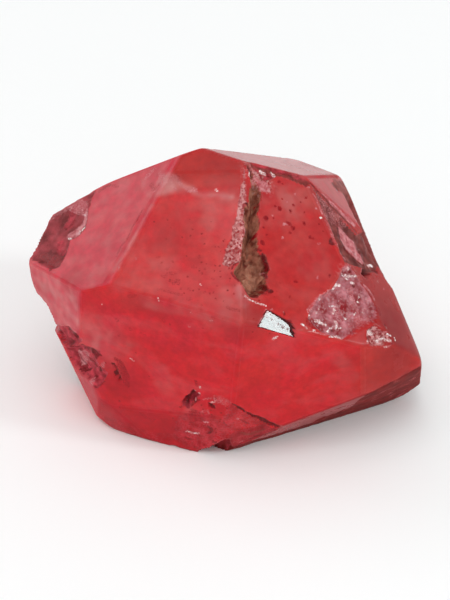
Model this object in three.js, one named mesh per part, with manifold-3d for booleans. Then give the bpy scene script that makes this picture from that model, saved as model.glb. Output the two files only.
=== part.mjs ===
// A point of hematoid quartz: one crystal of cloudy red quartz, six-sided walls below and a blunt
// pyramid above, with polished facets, natural skin left on three corners and a brown seam of
// iron-stained matrix running down the front. It stands on its flat root face. Millimetres, +Z up.
//
// Every facet is a plane, given by the compass direction it looks in (azimuth, from +X towards +Y),
// the angle it looks up or down (tilt) and its distance from the heart of the stone. What has broken
// or grown out of the facets is cut from that blank: hollows, furrows and chips, each drawn on the
// facet that it lies in, as [across, up] in millimetres from the foot of the heart's perpendicular.

import * as THREE from 'three';
import { ConvexGeometry } from 'three/addons/geometries/ConvexGeometry.js';
import { mergeVertices } from 'three/addons/utils/BufferGeometryUtils.js';
import Module from 'manifold-3d';

const HEART_HEIGHT = 14; // the heart lies this far above the root face
const HEART = new THREE.Vector3(-0.4, -2.6, HEART_HEIGHT);
const CLEAR_RISE = 3; // a cutter stands this far out of its facet
const SAME_POINT = 1e-4; // blank corners closer than this are one corner

const facets = {
  // prism walls
  frontWall: { azimuth: -112, tilt: -0.5, distance: 11 },
  rightWall: { azimuth: -78.5, tilt: -3.5, distance: 12.4 },
  cornerWall: { azimuth: -63, tilt: -2.5, distance: 15.5 },
  leftWall: { azimuth: -142, tilt: 2, distance: 16.3 },
  rearWall: { azimuth: 97, tilt: -4, distance: 16.2 },
  rearLeftWall: { azimuth: 147, tilt: -10, distance: 19.6 },
  rearRightWall: { azimuth: 52, tilt: -6, distance: 18.6 },
  rightEnd: { azimuth: 2, tilt: 6, distance: 21.8 },
  leftEnd: { azimuth: 176, tilt: -8, distance: 21.95 },

  // pyramid faces and the blunt tip
  leftFace: { azimuth: -153.5, tilt: 52, distance: 14.8 },
  leftBevel: { azimuth: -147.2, tilt: 53.5, distance: 14.53 },
  middleFace: { azimuth: -106, tilt: 54.5, distance: 11.9 },
  seamFace: { azimuth: -54, tilt: 50, distance: 12.2 },
  cloudFace: { azimuth: -49.5, tilt: 44, distance: 13 },
  rightFace: { azimuth: -13, tilt: 40.5, distance: 15.3 },
  tipFront: { azimuth: -106.5, tilt: 56, distance: 12.2 },
  tipRear: { azimuth: 56, tilt: 60.5, distance: 16.85 },
  tipRight: { azimuth: 5, tilt: 42, distance: 16.6 },
  rearFace: { azimuth: 105, tilt: 45, distance: 16.8 },
  rearRightFace: { azimuth: 45, tilt: 22, distance: 21.2 },
  rearLeftFace: { azimuth: 120, tilt: 50, distance: 17.4 },
  rearLeftSlope: { azimuth: 120, tilt: 38, distance: 17.55 },
  leftSlope: { azimuth: 165, tilt: 28.5, distance: 22.15 },
  rightSlope: { azimuth: 15, tilt: 16, distance: 18.45 },

  // undercut facets around the root, and the flat root face itself
  leftUnder: { azimuth: -161, tilt: -18.5, distance: 18.8 },
  leftChamfer: { azimuth: -138.5, tilt: -8.5, distance: 16 },
  frontUnder: { azimuth: -117, tilt: -13, distance: 13.65 },
  frontRoot: { azimuth: -111, tilt: -6.5, distance: 11.8 },
  cornerUnder: { azimuth: -139, tilt: -35, distance: 18.95 },
  rightUnder: { azimuth: -64, tilt: -39.5, distance: 15.65 },
  rightCornerUnder: { azimuth: -54, tilt: -34, distance: 17.5 },
  rearUnder: { azimuth: 120, tilt: -42, distance: 17.5 },
  rearRightUnder: { azimuth: 60, tilt: -40, distance: 17.5 },
  root: { azimuth: 0, tilt: -90, distance: HEART_HEIGHT },
};

// Small planes that aren't facets of the blank: floors that a break has left.
const mirrorFloor = { azimuth: -53, tilt: 38.5, distance: 12.75 };
const shelfFloor = { azimuth: -81, tilt: -12.8, distance: 12.83 };

// A hollow is cut straight down from its outline to its depth. Its walls lean outwards by `lean`
// millimetres for each millimetre of height, and its floor undulates by `relief`.
const hollows = {
  seamPocket: {
    facet: facets.seamFace, depth: 2, lean: 0.35, relief: 0.35,
    outline: [[-0.2, 2.3], [0.1, 0.5], [0.1, -0.5], [-1, -1.3], [-1.5, -2.4], [-3.2, -2.6],
      [-3.7, -1.9], [-4, -0.3], [-4.2, 1.1], [-3.5, 1.7], [-2.2, 2.3]],
  },
  tipRim: {
    facet: facets.seamFace, depth: 0.45, lean: 0.3, relief: 0.12,
    outline: [[4.4, 12.4], [5.9, 11.8], [7.8, 10.6], [9.4, 9.2], [10.9, 7.4], [9.6, 6.7],
      [8.5, 7.8], [7.5, 8.6], [6.5, 9.4], [5.4, 9.2], [4.5, 9.4], [4.1, 10.4]],
  },
  cloudPatch: {
    facet: facets.cloudFace, depth: 0.4, lean: 0.5, relief: 0.15,
    outline: [[8.2, -2.5], [9.2, -4.3], [10.1, -5.6], [10.3, -7.3], [10.1, -8.7], [8.5, -9.7],
      [6.6, -9.6], [3.5, -9.7], [1.4, -7.9], [0.6, -5.9], [1.3, -5.2], [3.2, -4.3], [5.4, -4.1], [6.9, -3.4]],
  },
  mirrorStep: {
    facet: mirrorFloor, depth: 0, lean: 0.1, relief: 0,
    outline: [[-4.7, -3.1], [-2.8, -1.8], [-2.4, -1.9], [-1.4, -3.1], [-0.5, -4.3], [-0.7, -5.3],
      [-0.5, -6], [-2.6, -4.5]],
  },
  rootShelf: {
    facet: shelfFloor, depth: 0, lean: 0.1, relief: 0,
    outline: [[-1.6, -2.1], [0.4, -4], [2.5, -5.7], [4, -7.2], [6.1, -9.1], [6.6, -14], [-3, -14],
      [-3.9, -8.5]],
  },
  rootNotch: {
    facet: facets.frontRoot, depth: 1.9, lean: 0.4, relief: 0.1,
    outline: [[-0.6, -16.6], [0.4, -12.8], [1.6, -11.8], [3.3, -10.6], [4.1, -10.5], [5, -10.8],
      [5.7, -14.6]],
  },
  darkPit: {
    facet: facets.frontRoot, depth: 1.3, lean: 0.25, relief: 0.25,
    outline: [[-0.3, -3.2], [0.6, -3.1], [1, -4.1], [0, -6.1], [-1, -6.1], [-1.2, -5]],
  },
  smallPit: {
    facet: facets.frontRoot, depth: 0.6, lean: 0.2, relief: 0.1,
    outline: [[2.1, -4.7], [2.6, -4.4], [3, -5.2], [2.6, -5.6], [2.1, -5.3]],
  },
  slitPit: {
    facet: facets.frontWall, depth: 0.7, lean: 0.15, relief: 0.1,
    outline: [[-9.4, -3.6], [-9, -3.7], [-8.5, -4.6], [-8.2, -5.4], [-8.8, -5.4], [-9.3, -4.6]],
  },
  leftSkin: {
    facet: facets.leftFace, depth: 0.35, lean: 0.8, relief: 0.18,
    outline: [[-14.6, -12.5], [-12.4, -12], [-8.8, -11.1], [-8, -10], [-8.9, -8.2], [-9.9, -7.3],
      [-9.3, -6.1], [-9.4, -4.9], [-11, -3.8], [-12, -2.7], [-13, -1.3], [-15, -2.6], [-17, -6], [-17, -10]],
  },
  grainBand: {
    facet: facets.middleFace, depth: 0.2, lean: 0.8, relief: 0.08,
    outline: [[1.4, 12.2], [1.6, 9.5], [1.6, 7.3], [1.5, 4.3], [1.2, 2], [2, 0.9], [2.9, 1],
      [3.3, 2.5], [2.8, 7.3], [2.6, 9.7], [2.1, 12]],
  },
  brownFlank: {
    facet: facets.rightFace, depth: 0.7, lean: 0.5, relief: 0.2,
    outline: [[6.6, 4.9], [7.4, 2.2], [9.2, 0.6], [10.4, -2.4], [9.6, -5], [6.5, -7.8],
      [4.3, -7.7], [2.7, -6.7], [2.5, -5.7], [0.5, -3.2], [1.8, -1.5], [3.5, 0.7], [5.1, 3.1]],
  },
  flankBite: {
    facet: facets.rightSlope, depth: 1, lean: 0.8, relief: 0.1,
    outline: [[7, 5], [3, 4.6], [-1, 1.6], [-4.2, -1.6], [-4.6, -3.4], [-1.6, -5], [2, -4],
      [5, -0.6], [7, 2.2]],
  },
  flankHole: {
    facet: facets.rightFace, depth: 1.6, lean: 0.15, relief: 0.1,
    outline: [[2.5, -5.7], [3.7, -6.6], [3, -7.2], [1.7, -6.8], [1.5, -5.8]],
  },
  glintHollow: {
    facet: facets.cloudFace, depth: 0.5, lean: 0.5, relief: 0.2,
    outline: [[6.9, -9.9], [8.3, -10], [9.4, -11.2], [9.4, -12.3], [7.9, -12.6], [6.6, -11.8],
      [6.5, -10.7]],
  },
  upperChip: {
    facet: facets.leftChamfer, depth: 0.8, lean: 0.4, relief: 0.25,
    outline: [[-12.6, 0.4], [-9.2, 1.9], [-7.5, 1.7], [-6.7, 0.9], [-8.6, -0.9], [-10.7, -1.8],
      [-12.8, -1.2]],
  },
  tipNick: {
    facet: facets.leftUnder, depth: 0.6, lean: 1, relief: 0.1,
    outline: [[-11.6, 5.2], [-9.6, 6.2], [-7.8, 7], [-6, 6.6], [-4.6, 5], [-4, 4], [-5.6, 2.2],
      [-8.4, 0.6], [-11.4, -1.4], [-12.4, 1.8]],
  },
  lowerChip: {
    facet: facets.leftChamfer, depth: 1, lean: 0.5, relief: 0.3,
    outline: [[-10.3, -1.9], [-7.3, 0.2], [-4.6, 0.8], [-4, -0.5], [-3.8, -3.4], [-4.7, -5.1],
      [-5.6, -4.6], [-8.2, -4.6], [-10.3, -3.5]],
  },

  // the rear: a pocket where matrix has fallen out, a patch of skin and two breaks at the root
  rearPocket: {
    facet: facets.rearWall, depth: 1.1, lean: 0.6, relief: 0.3,
    outline: [[-6, 3], [-3.6, 4.7], [-0.6, 4.1], [1.1, 2], [0.4, -0.7], [-2.4, -1.6], [-5.2, -0.5]],
  },
  rearLeftSkin: {
    facet: facets.rearLeftWall, depth: 0.45, lean: 0.8, relief: 0.2,
    outline: [[-4.2, 5.4], [-0.8, 6.6], [2.4, 5], [3.1, 1.6], [1.4, -1.4], [-1.9, -2], [-4.6, 0.7]],
  },
  rearRootBreak: {
    facet: facets.rearUnder, depth: 0.9, lean: 0.7, relief: 0.3,
    outline: [[-5.8, 1.8], [-1.6, 2.9], [2.2, 1.7], [4, -1.2], [1.8, -4.4], [-3, -4.8], [-6.2, -1.8]],
  },
  rearRightChip: {
    facet: facets.rearRightWall, depth: 0.7, lean: 0.6, relief: 0.2,
    outline: [[-3.8, 4.2], [-0.4, 5.3], [1.6, 3], [0.8, 0.2], [-2.2, -0.3], [-4.3, 1.7]],
  },
};

// A furrow follows its spine, [across, up, half width, depth], with a V-shaped section.
const furrows = {
  seamCleft: {
    facet: facets.seamFace,
    spine: [[4, 11.6, 0.15, 0.4], [3.5, 10.3, 0.2, 0.6], [3.2, 9, 0.6, 0.9], [3.1, 8.1, 0.8, 1.2],
      [2.3, 7.2, 0.6, 1.1], [1.3, 6.1, 0.8, 1.2], [0.6, 4.8, 0.8, 1.3], [-0.2, 3.5, 0.8, 1.4],
      [-0.9, 2.5, 0.9, 1.6], [-1.6, 1.3, 1, 1.8]],
  },
  rootCrack: {
    facet: facets.rightWall,
    spine: [[-2, -4.5, 0.15, 0.3], [-0.6, -5.6, 0.2, 0.6], [0.9, -6.8, 0.2, 0.7], [2.6, -8.2, 0.25, 0.8],
      [4.9, -10.1, 0.3, 1]],
  },
  rearSeam: {
    facet: facets.rearFace,
    spine: [[-7, 5.5, 0.2, 0.3], [-4.5, 4.2, 0.5, 0.6], [-2, 3.4, 0.4, 0.5], [0.8, 1.6, 0.6, 0.7],
      [3.4, 0.2, 0.4, 0.5], [5.6, -2, 0.2, 0.3]],
  },
};

/** Unit vectors and foot point of a facet: out of it, level across it and straight up it. */
function frameOf(facet) {
  const azimuth = THREE.MathUtils.degToRad(facet.azimuth);
  const tilt = THREE.MathUtils.degToRad(facet.tilt);
  const out = new THREE.Vector3(
    Math.cos(tilt) * Math.cos(azimuth),
    Math.cos(tilt) * Math.sin(azimuth),
    Math.sin(tilt),
  );
  const across = new THREE.Vector3(-Math.sin(azimuth), Math.cos(azimuth), 0);
  const up = new THREE.Vector3().crossVectors(out, across);
  const foot = HEART.clone().addScaledVector(out, facet.distance);
  return { out, across, up, foot };
}

/** The point [across, up] millimetres along a facet and `height` millimetres out of it. */
function pointOn(frame, across, up, height) {
  return frame.foot.clone()
    .addScaledVector(frame.across, across)
    .addScaledVector(frame.up, up)
    .addScaledVector(frame.out, height);
}

/** The blank: the space behind every facet. Its corners are where three facets meet behind all others. */
function blankGeometry(planes) {
  const corners = [];
  const corner = new THREE.Vector3();
  const rows = new THREE.Matrix3();
  for (let i = 0; i < planes.length; i += 1) {
    for (let j = i + 1; j < planes.length; j += 1) {
      for (let k = j + 1; k < planes.length; k += 1) {
        const [a, b, c] = [planes[i], planes[j], planes[k]];
        rows.set(...a.normal.toArray(), ...b.normal.toArray(), ...c.normal.toArray());
        if (Math.abs(rows.determinant()) < SAME_POINT) continue;
        corner.set(-a.constant, -b.constant, -c.constant).applyMatrix3(rows.clone().invert());
        const inside = planes.every((plane) => plane.distanceToPoint(corner) < SAME_POINT);
        const known = corners.some((other) => other.distanceTo(corner) < SAME_POINT);
        if (inside && !known) corners.push(corner.clone());
      }
    }
  }
  return new ConvexGeometry(corners);
}

/** Small undulation of a natural surface, between -1 and 1. */
function undulation(across, up) {
  return Math.sin(3.1 * across + 1.3 * up) * Math.cos(2.3 * up - 1.9 * across);
}

/** A closed geometry from rings of points, each joined to the next, with a point at either end. */
function ringsGeometry(first, rings, last) {
  const count = rings[0].length;
  const points = [first, ...rings.flat(), last];
  const faces = [];
  for (let i = 0; i < count; i += 1) {
    const next = (i + 1) % count;
    faces.push(0, 1 + i, 1 + next);
    for (let ring = 0; ring < rings.length - 1; ring += 1) {
      const here = 1 + ring * count;
      const below = here + count;
      faces.push(here + i, below + i, below + next, here + i, below + next, here + next);
    }
    const lowest = 1 + (rings.length - 1) * count;
    faces.push(lowest + i, points.length - 1, lowest + next);
  }
  const geometry = new THREE.BufferGeometry();
  const positions = points.flatMap((point) => point.toArray());
  geometry.setAttribute('position', new THREE.Float32BufferAttribute(positions, 3));
  geometry.setIndex(faces);
  return geometry;
}

/** The cutter of a hollow: its outline drawn in from above the facet down to a rippled floor. */
function hollowGeometry({ facet, depth, lean, relief, outline }) {
  const frame = frameOf(facet);
  const points = outline.map(([across, up]) => new THREE.Vector2(across, up));
  const middle = new THREE.Vector2();
  points.forEach((point) => middle.addScaledVector(point, 1 / points.length));
  const reach = points.reduce((sum, point) => sum + point.distanceTo(middle), 0) / points.length;
  const place = (point, size, height, ripple) => {
    const spot = point.clone().sub(middle).multiplyScalar(size).add(middle);
    return pointOn(frame, spot.x, spot.y, height + ripple * undulation(spot.x, spot.y));
  };
  const top = 1 + (lean * CLEAR_RISE) / reach;
  const floor = 1 - (lean * depth) / reach;
  const rings = [
    points.map((point) => place(point, top, CLEAR_RISE, 0)),
    points.map((point) => place(point, floor, -depth, relief)),
    points.map((point, i) => place(point, floor * (0.62 + 0.12 * Math.sin(2.4 * i)), -depth, relief)),
    points.map((point, i) => place(point, floor * (0.28 + 0.1 * Math.cos(1.9 * i)), -depth, relief)),
  ];
  return ringsGeometry(place(middle, 1, CLEAR_RISE, 0), rings, place(middle, 1, -depth, relief));
}

/** The cutter of a furrow: a V section carried along its spine, square to the way it runs. */
function furrowGeometry({ facet, spine }) {
  const frame = frameOf(facet);
  const rings = spine.map(([across, up, halfWidth, depth], index) => {
    const before = spine[Math.max(index - 1, 0)];
    const after = spine[Math.min(index + 1, spine.length - 1)];
    const run = new THREE.Vector2(after[0] - before[0], after[1] - before[1]).normalize();
    const edge = (side, height) => {
      const out = side * halfWidth * (1 + height / depth);
      return pointOn(frame, across - run.y * out, up + run.x * out, height);
    };
    return [edge(1, depth), edge(1, -0.6 * depth), edge(0, -depth), edge(-1, -0.6 * depth), edge(-1, depth)];
  });
  const [first, last] = [spine[0], spine[spine.length - 1]];
  return ringsGeometry(pointOn(frame, first[0], first[1], 0), rings, pointOn(frame, last[0], last[1], 0));
}

const wasm = await Module();
wasm.setup();

/** A solid from a closed geometry, with its faces turned outwards. */
function solidOf(geometry) {
  const bare = new THREE.BufferGeometry();
  bare.setAttribute('position', geometry.getAttribute('position').clone());
  bare.setIndex(geometry.index);
  const merged = mergeVertices(bare, SAME_POINT);
  const faces = Uint32Array.from(merged.index.array);
  const build = () => new wasm.Manifold(new wasm.Mesh({
    numProp: 3,
    vertProperties: Float32Array.from(merged.getAttribute('position').array),
    triVerts: faces,
  }));
  const solid = build();
  if (solid.volume() > 0) return solid;
  for (let i = 0; i < faces.length; i += 3) {
    [faces[i], faces[i + 1]] = [faces[i + 1], faces[i]];
  }
  return build();
}

/** A geometry with flat-shaded faces from a solid. */
function geometryOf(solid) {
  const mesh = solid.getMesh();
  const geometry = new THREE.BufferGeometry();
  geometry.setAttribute('position', new THREE.Float32BufferAttribute(mesh.vertProperties, 3));
  geometry.setIndex(new THREE.Uint32BufferAttribute(mesh.triVerts, 1));
  const flat = geometry.toNonIndexed();
  flat.computeVertexNormals();
  return flat;
}

const planes = Object.values(facets).map((facet) => {
  const { out, foot } = frameOf(facet);
  return new THREE.Plane().setFromNormalAndCoplanarPoint(out, foot);
});
let stone = solidOf(blankGeometry(planes));
for (const hollow of Object.values(hollows)) {
  stone = stone.subtract(solidOf(hollowGeometry(hollow)));
}
for (const furrow of Object.values(furrows)) {
  stone = stone.subtract(solidOf(furrowGeometry(furrow)));
}

const quartz = new THREE.Mesh(
  geometryOf(stone),
  new THREE.MeshStandardMaterial({ color: '#c23a40', roughness: 0.2, metalness: 0 }),
);
quartz.name = 'quartz_point';

const part = new THREE.Group();
part.add(quartz);

export default part;
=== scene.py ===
"""A point of hematoid quartz on a pale floor: one cloudy red crystal, partly polished, partly as it grew."""

import math

import bpy
import numpy as np
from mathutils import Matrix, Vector


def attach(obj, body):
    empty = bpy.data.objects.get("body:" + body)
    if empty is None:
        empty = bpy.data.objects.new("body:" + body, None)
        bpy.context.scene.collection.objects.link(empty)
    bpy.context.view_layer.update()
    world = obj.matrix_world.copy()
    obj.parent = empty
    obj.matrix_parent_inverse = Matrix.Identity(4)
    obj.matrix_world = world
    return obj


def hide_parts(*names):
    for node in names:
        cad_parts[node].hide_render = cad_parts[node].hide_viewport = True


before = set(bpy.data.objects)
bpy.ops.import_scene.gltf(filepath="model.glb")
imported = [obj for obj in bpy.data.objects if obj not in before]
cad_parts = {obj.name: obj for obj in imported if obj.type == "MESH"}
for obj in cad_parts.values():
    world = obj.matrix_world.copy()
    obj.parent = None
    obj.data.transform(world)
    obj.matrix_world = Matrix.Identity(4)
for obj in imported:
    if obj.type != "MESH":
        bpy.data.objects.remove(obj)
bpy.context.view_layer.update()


# ---------------------------------------------------------------------------------------------
# The stone
# One crystal of hematoid quartz: silica that grew cloudy and red with iron oxide on a brown matrix.
# It broke off at its root and was then cut and polished on most faces. It stands on the root face.
# ---------------------------------------------------------------------------------------------

MM = 0.001  # metres in a millimetre; lengths below are in millimetres
HEART = np.array([-0.4, -2.6, 14.0])  # the point inside the stone from which all its surface is seen

# -- How the stone is measured and wrapped --------------------------------------------------

SLIVER = 0.03  # square mm; triangles of half this area are too small to give a direction
LEVEL = 0.01  # mm that a corner may stand in front of an outer facet's plane
SAME_WAY = math.cos(math.radians(0.6))  # planes that look in nearer directions than this are one facet


def planes_around(node):
    """Outward directions and distances from the heart of the part's outer facets: of the planes of all
    its triangles, those that no corner of the part stands in front of, largest first, each once."""
    mesh = node.data
    corners = np.empty(3 * len(mesh.vertices))
    mesh.vertices.foreach_get("co", corners)
    corners = corners.reshape(-1, 3) / MM - HEART
    mesh.calc_loop_triangles()
    index = np.empty(3 * len(mesh.loop_triangles), dtype=np.int32)
    mesh.loop_triangles.foreach_get("vertices", index)
    a, b, c = corners[index.reshape(-1, 3)].transpose(1, 0, 2)
    across = np.cross(b - a, c - a)
    area = np.linalg.norm(across, axis=1)
    a, across, area = a[area > SLIVER], across[area > SLIVER], area[area > SLIVER]
    out = across / area[:, None]
    distance = (out * a).sum(axis=1)
    outermost = (corners @ out.T).max(axis=0) < distance + LEVEL
    kept = []
    for i in np.argsort(-area):
        if outermost[i] and all(out[i] @ out[j] < SAME_WAY for j in kept):
            kept.append(i)
    return out[kept], distance[kept]


SQUARES = 128  # along a side of each of the six patches that wrap the stone
STRETCH = np.array([1.3, 1.0, 1.0])  # the stone is longer in X, so more squares go to its ends
SHOW_SIDE = np.array([0.0, -0.30, 0.21])  # and more go to the polished front, where the marks are finest


def wrapped_cube(squares):
    """Directions and squares of a cube's skin blown up to a sphere. The two parameters of each patch
    are angles from -45 to 45 degrees, and a point is (1, tan u, tan v) turned to its patch's axis."""
    steps = np.arange(squares + 1)
    u, v = np.meshgrid(2 * steps - squares, 2 * steps - squares, indexing="ij")
    corner = np.arange((squares + 1) ** 2).reshape(squares + 1, squares + 1)
    square = np.stack([corner[:-1, :-1], corner[1:, :-1], corner[1:, 1:], corner[:-1, 1:]], axis=-1)
    square = square.reshape(-1, 4)
    points, faces = [], []
    for axis in range(3):
        for side in (-1, 1):
            patch = np.empty(((squares + 1) ** 2, 3), dtype=np.int64)
            patch[:, axis] = side * squares
            patch[:, (axis + 1) % 3] = u.ravel()
            patch[:, (axis + 2) % 3] = v.ravel()
            faces.append((square if side > 0 else square[:, ::-1]) + len(points) * len(patch))
            points.append(patch)
    skin, where = np.unique(np.concatenate(points), axis=0, return_inverse=True)
    direction = np.tan(skin / squares * math.pi / 4) * STRETCH
    direction /= np.linalg.norm(direction, axis=1)[:, None]
    direction += SHOW_SIDE
    return direction / np.linalg.norm(direction, axis=1)[:, None], where.ravel()[np.concatenate(faces)]


lattice = np.random.default_rng(11).uniform(-1, 1, (32, 32, 32))  # each seed below reads its own part


def swell(points, size, seed):
    """Smooth random field from -1 to 1 whose swells are `size` mm across: random values at the corners
    of a cubic lattice, blended between them along each axis by 3t^2 - 2t^3."""
    place = points / size + 5.37 * seed
    cell = np.floor(place).astype(int)
    t = place - cell
    t = t * t * (3 - 2 * t)
    value = np.zeros(len(points))
    for corner in np.ndindex(2, 2, 2):
        weight = np.prod(np.where(corner, t, 1 - t), axis=1)
        value += weight * lattice[tuple(((cell + corner) % len(lattice)).T)]
    return value


def pebbles(points, size, seed):
    """Height from 0 to 1 of rounded grains `size` mm apart: 1 less the distance to the nearest of many
    points, one thrown at random into each cell of a cubic lattice."""
    place = points / size + 3.71 * seed
    cell = np.floor(place).astype(int)
    nearest = np.full(len(points), np.inf)
    for step in np.ndindex(3, 3, 3):
        near = cell + np.array(step) - 1
        thrown = [0.5 + 0.5 * lattice[tuple(((near + shift) % len(lattice)).T)] for shift in (0, 11, 23)]
        nearest = np.minimum(nearest, ((near + np.stack(thrown, axis=1) - place) ** 2).sum(axis=1))
    return np.clip(1 - np.sqrt(nearest), 0, 1)


def ease(value, low, high):
    """0 below `low`, 1 above `high`, and 3t^2 - 2t^3 between them."""
    t = np.clip((value - low) / (high - low), 0, 1)
    return t * t * (3 - 2 * t)


# -- The cut blank --------------------------------------------------------------------------

outs, reaches = planes_around(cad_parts["quartz_point"])
directions, squares = wrapped_cube(SQUARES)
EDGE_SHARPNESS = 170  # a polished edge is rounded over about 0.3 mm
EDGE_WEAR = 0.15, 0.45  # mm from an edge where its wear starts to fade, and where it has gone
RIGHT_CORNER = np.array([22.5, -5.0, 5.6])  # where the stone is rubbed rounder
RUBBED_REACH = 10  # mm around that corner

# Along a direction the facets lie at distance / cosine, and the nearest one is the surface. The p-norm
# of the inverses rounds the edges between them.
nearness = np.clip(directions @ outs.T, 0, None) / reaches
top = nearness.max(axis=1)
from_corner = directions / top[:, None] + HEART - RIGHT_CORNER
rubbed = np.exp(-((from_corner**2).sum(axis=1) / RUBBED_REACH**2) ** 2)
sharpness = EDGE_SHARPNESS * (1 - 0.5 * rubbed)
radius = 1 / (top * ((nearness / top[:, None]) ** sharpness[:, None]).sum(axis=1) ** (1 / sharpness))
second, first = np.argpartition(nearness, -2, axis=1)[:, -2:].T
sine = np.sqrt(1 - (outs[first] * outs[second]).sum(axis=1) ** 2)
aside = radius * (1 - nearness[np.arange(len(radius)), second] / top) / sine  # mm from the nearest edge
on_edge = (1 - ease(aside, *EDGE_WEAR)) * (1 - rubbed)
blank = directions * radius[:, None]

# How borders wander across and up a facet, and how the floors of hollows ripple.
wander = [swell(blank, 1.1, seed) + 0.5 * swell(blank, 0.45, seed + 1) for seed in (1, 3)]
ripple = 0.7 * swell(blank, 1.3, 5) + 0.3 * swell(blank, 0.5, 6)

# -- Places on its facets -------------------------------------------------------------------

# Facets by the compass direction (from +X towards +Y) and the tilt (degrees) that they look in. The
# last two are floors that a break has left, so they also say how far they are from the heart.
facets = {
    "front_wall": (-112, -0.5), "right_wall": (-78.5, -3.5), "corner_wall": (-63, -2.5),
    "left_wall": (-142, 2), "rear_wall": (97, -4), "rear_left_wall": (147, -10),
    "rear_right_wall": (52, -6), "right_end": (2, 6), "left_end": (176, -8), "left_face": (-153.5, 52),
    "middle_face": (-106, 54.5), "seam_face": (-54, 50), "cloud_face": (-49.5, 44),
    "right_face": (-13, 40.5), "tip_front": (-106.5, 56), "tip_rear": (56, 60.5), "tip_right": (5, 42),
    "rear_face": (105, 45), "rear_left_face": (120, 50), "right_slope": (15, 16),
    "left_slope": (165, 28.5), "rear_right_face": (45, 22), "rear_left_slope": (120, 38),
    "rear_right_under": (60, -40),
    "left_under": (-161, -18.5), "left_chamfer": (-138.5, -8.5), "front_under": (-117, -13),
    "front_root": (-111, -6.5), "right_under": (-64, -39.5), "right_corner_under": (-54, -34),
    "rear_under": (120, -42), "root": (0, -90),
    "mirror_floor": (-53, 38.5, 12.75), "shelf_floor": (-81, -12.8, 12.83),
}
STEEPEST = 0.15  # cosine of a direction to a facet's own, below which it has no spot on that facet
FAR_OFF = 999  # mm; the spot of such a direction, clear of everything on the facet
spots = {}


def outward(name):
    """A facet's own direction: (cos tilt cos azimuth, cos tilt sin azimuth, sin tilt)."""
    azimuth, tilt = map(math.radians, facets[name][:2])
    return np.array([math.cos(tilt) * math.cos(azimuth), math.cos(tilt) * math.sin(azimuth), math.sin(tilt)])


def share_of_top(name):
    """How nearly each direction has this facet as its surface: 1 where it has."""
    return nearness[:, (outs @ outward(name)).argmax()] / top


def spots_on(name):
    """Where every direction meets a facet's plane, in mm across and up it from the heart's foot, with
    the cosine between the direction and the facet's own, and the facet's distance from the heart."""
    if name not in spots:
        out = outward(name)
        azimuth = math.radians(facets[name][0])
        across = np.array([-math.sin(azimuth), math.cos(azimuth), 0])
        distance = facets[name][2] if len(facets[name]) > 2 else reaches[(outs @ out).argmax()]
        facing = directions @ out
        seen = facing > STEEPEST
        facing = np.maximum(facing, STEEPEST)
        spot = directions * (distance / facing)[:, None]
        place = [np.where(seen, spot @ way, FAR_OFF) for way in (across, np.cross(out, across))]
        spots[name] = *place, facing, distance
    return spots[name]


def to_side(across, up, start, end):
    """Distance to a straight side, and how far along it its nearest point lies, from 0 to 1: the dot
    product of the way from its start with the side, over the side's length squared."""
    run, rise = end[0] - start[0], end[1] - start[1]
    along = ((across - start[0]) * run + (up - start[1]) * rise) / (run**2 + rise**2 + 1e-9)
    along = np.clip(along, 0, 1)
    return np.hypot(across - start[0] - along * run, up - start[1] - along * rise), along


def beyond_outline(across, up, outline):
    """Distance from a closed outline, negative inside it: the least distance to its sides, with the
    sign from how many of them a level line from the point crosses."""
    nearest = np.full(len(across), np.inf)
    inside = np.zeros(len(across), dtype=bool)
    for start, end in zip(outline, outline[1:] + outline[:1]):
        nearest = np.minimum(nearest, to_side(across, up, start, end)[0])
        if start[1] != end[1]:
            slope = (end[0] - start[0]) / (end[1] - start[1])
            inside ^= ((start[1] > up) != (end[1] > up)) & (across < start[0] + (up - start[1]) * slope)
    return np.where(inside, -nearest, nearest)


def beside_spine(across, up, spine):
    """Distance to a spine and its half width there, which goes evenly from each point to the next."""
    nearest = np.full(len(across), np.inf)
    width = np.full(len(across), 1.0)
    for start, end in zip(spine, spine[1:]):
        gap, along = to_side(across, up, start, end)
        width = np.where(gap < nearest, start[2] + along * (end[2] - start[2]), width)
        nearest = np.minimum(nearest, gap)
    return nearest, width


# -- What covers it, and what broke out of it -----------------------------------------------

# How much of each finish a spot has, in the order in which they are laid over the red quartz: pale
# cloud, deep cloud that also carries painted shade, and dark specks inside it; the rind that was never
# polished, dark also as painted shade under the stone; the dull skin, fresh breaks, brown stain; fine
# and coarse sugary crystals; brown host rock, its sand, dark crust; the flat bright step; pale bruises
# that also carry painted highlights, deep red flecks, dark lines and pits that also carry painted shade,
# and painted glints: white highlights painted on.
finish = {name: np.zeros(len(directions)) for name in (
    "milk", "dusk_and_shade", "pepper", "husk_and_shade", "skin", "chip", "rust", "frost", "grain", "matrix", "tan", "crust",
    "mirror", "blush_and_highlight", "blood", "stain_and_shade", "painted_glint")}
soft = ("milk", "dusk_and_shade", "pepper")  # these fade into the stone around them
ragged_finishes = ("frost", "grain", "skin")  # and these break up towards their borders
BORDER = 0.35, 0.65  # how much of any other finish a spot has where it starts, and where it is whole


def lay(name, share, inside):
    """Gives spots a finish. `inside` is the distance in from its border in mm. A soft finish fades over a
    millimetre. The others go from one end of BORDER to the other within 0.15 mm, or 0.5 mm if ragged."""
    if name in soft:
        amount = share * ease(inside, -0.5, 0.5)
    else:
        amount = np.clip(0.5 + (0.6 if name in ragged_finishes else 2) * inside, 0, 0.35 + 0.3 * share)
    finish[name] = np.maximum(finish[name], amount)
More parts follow.
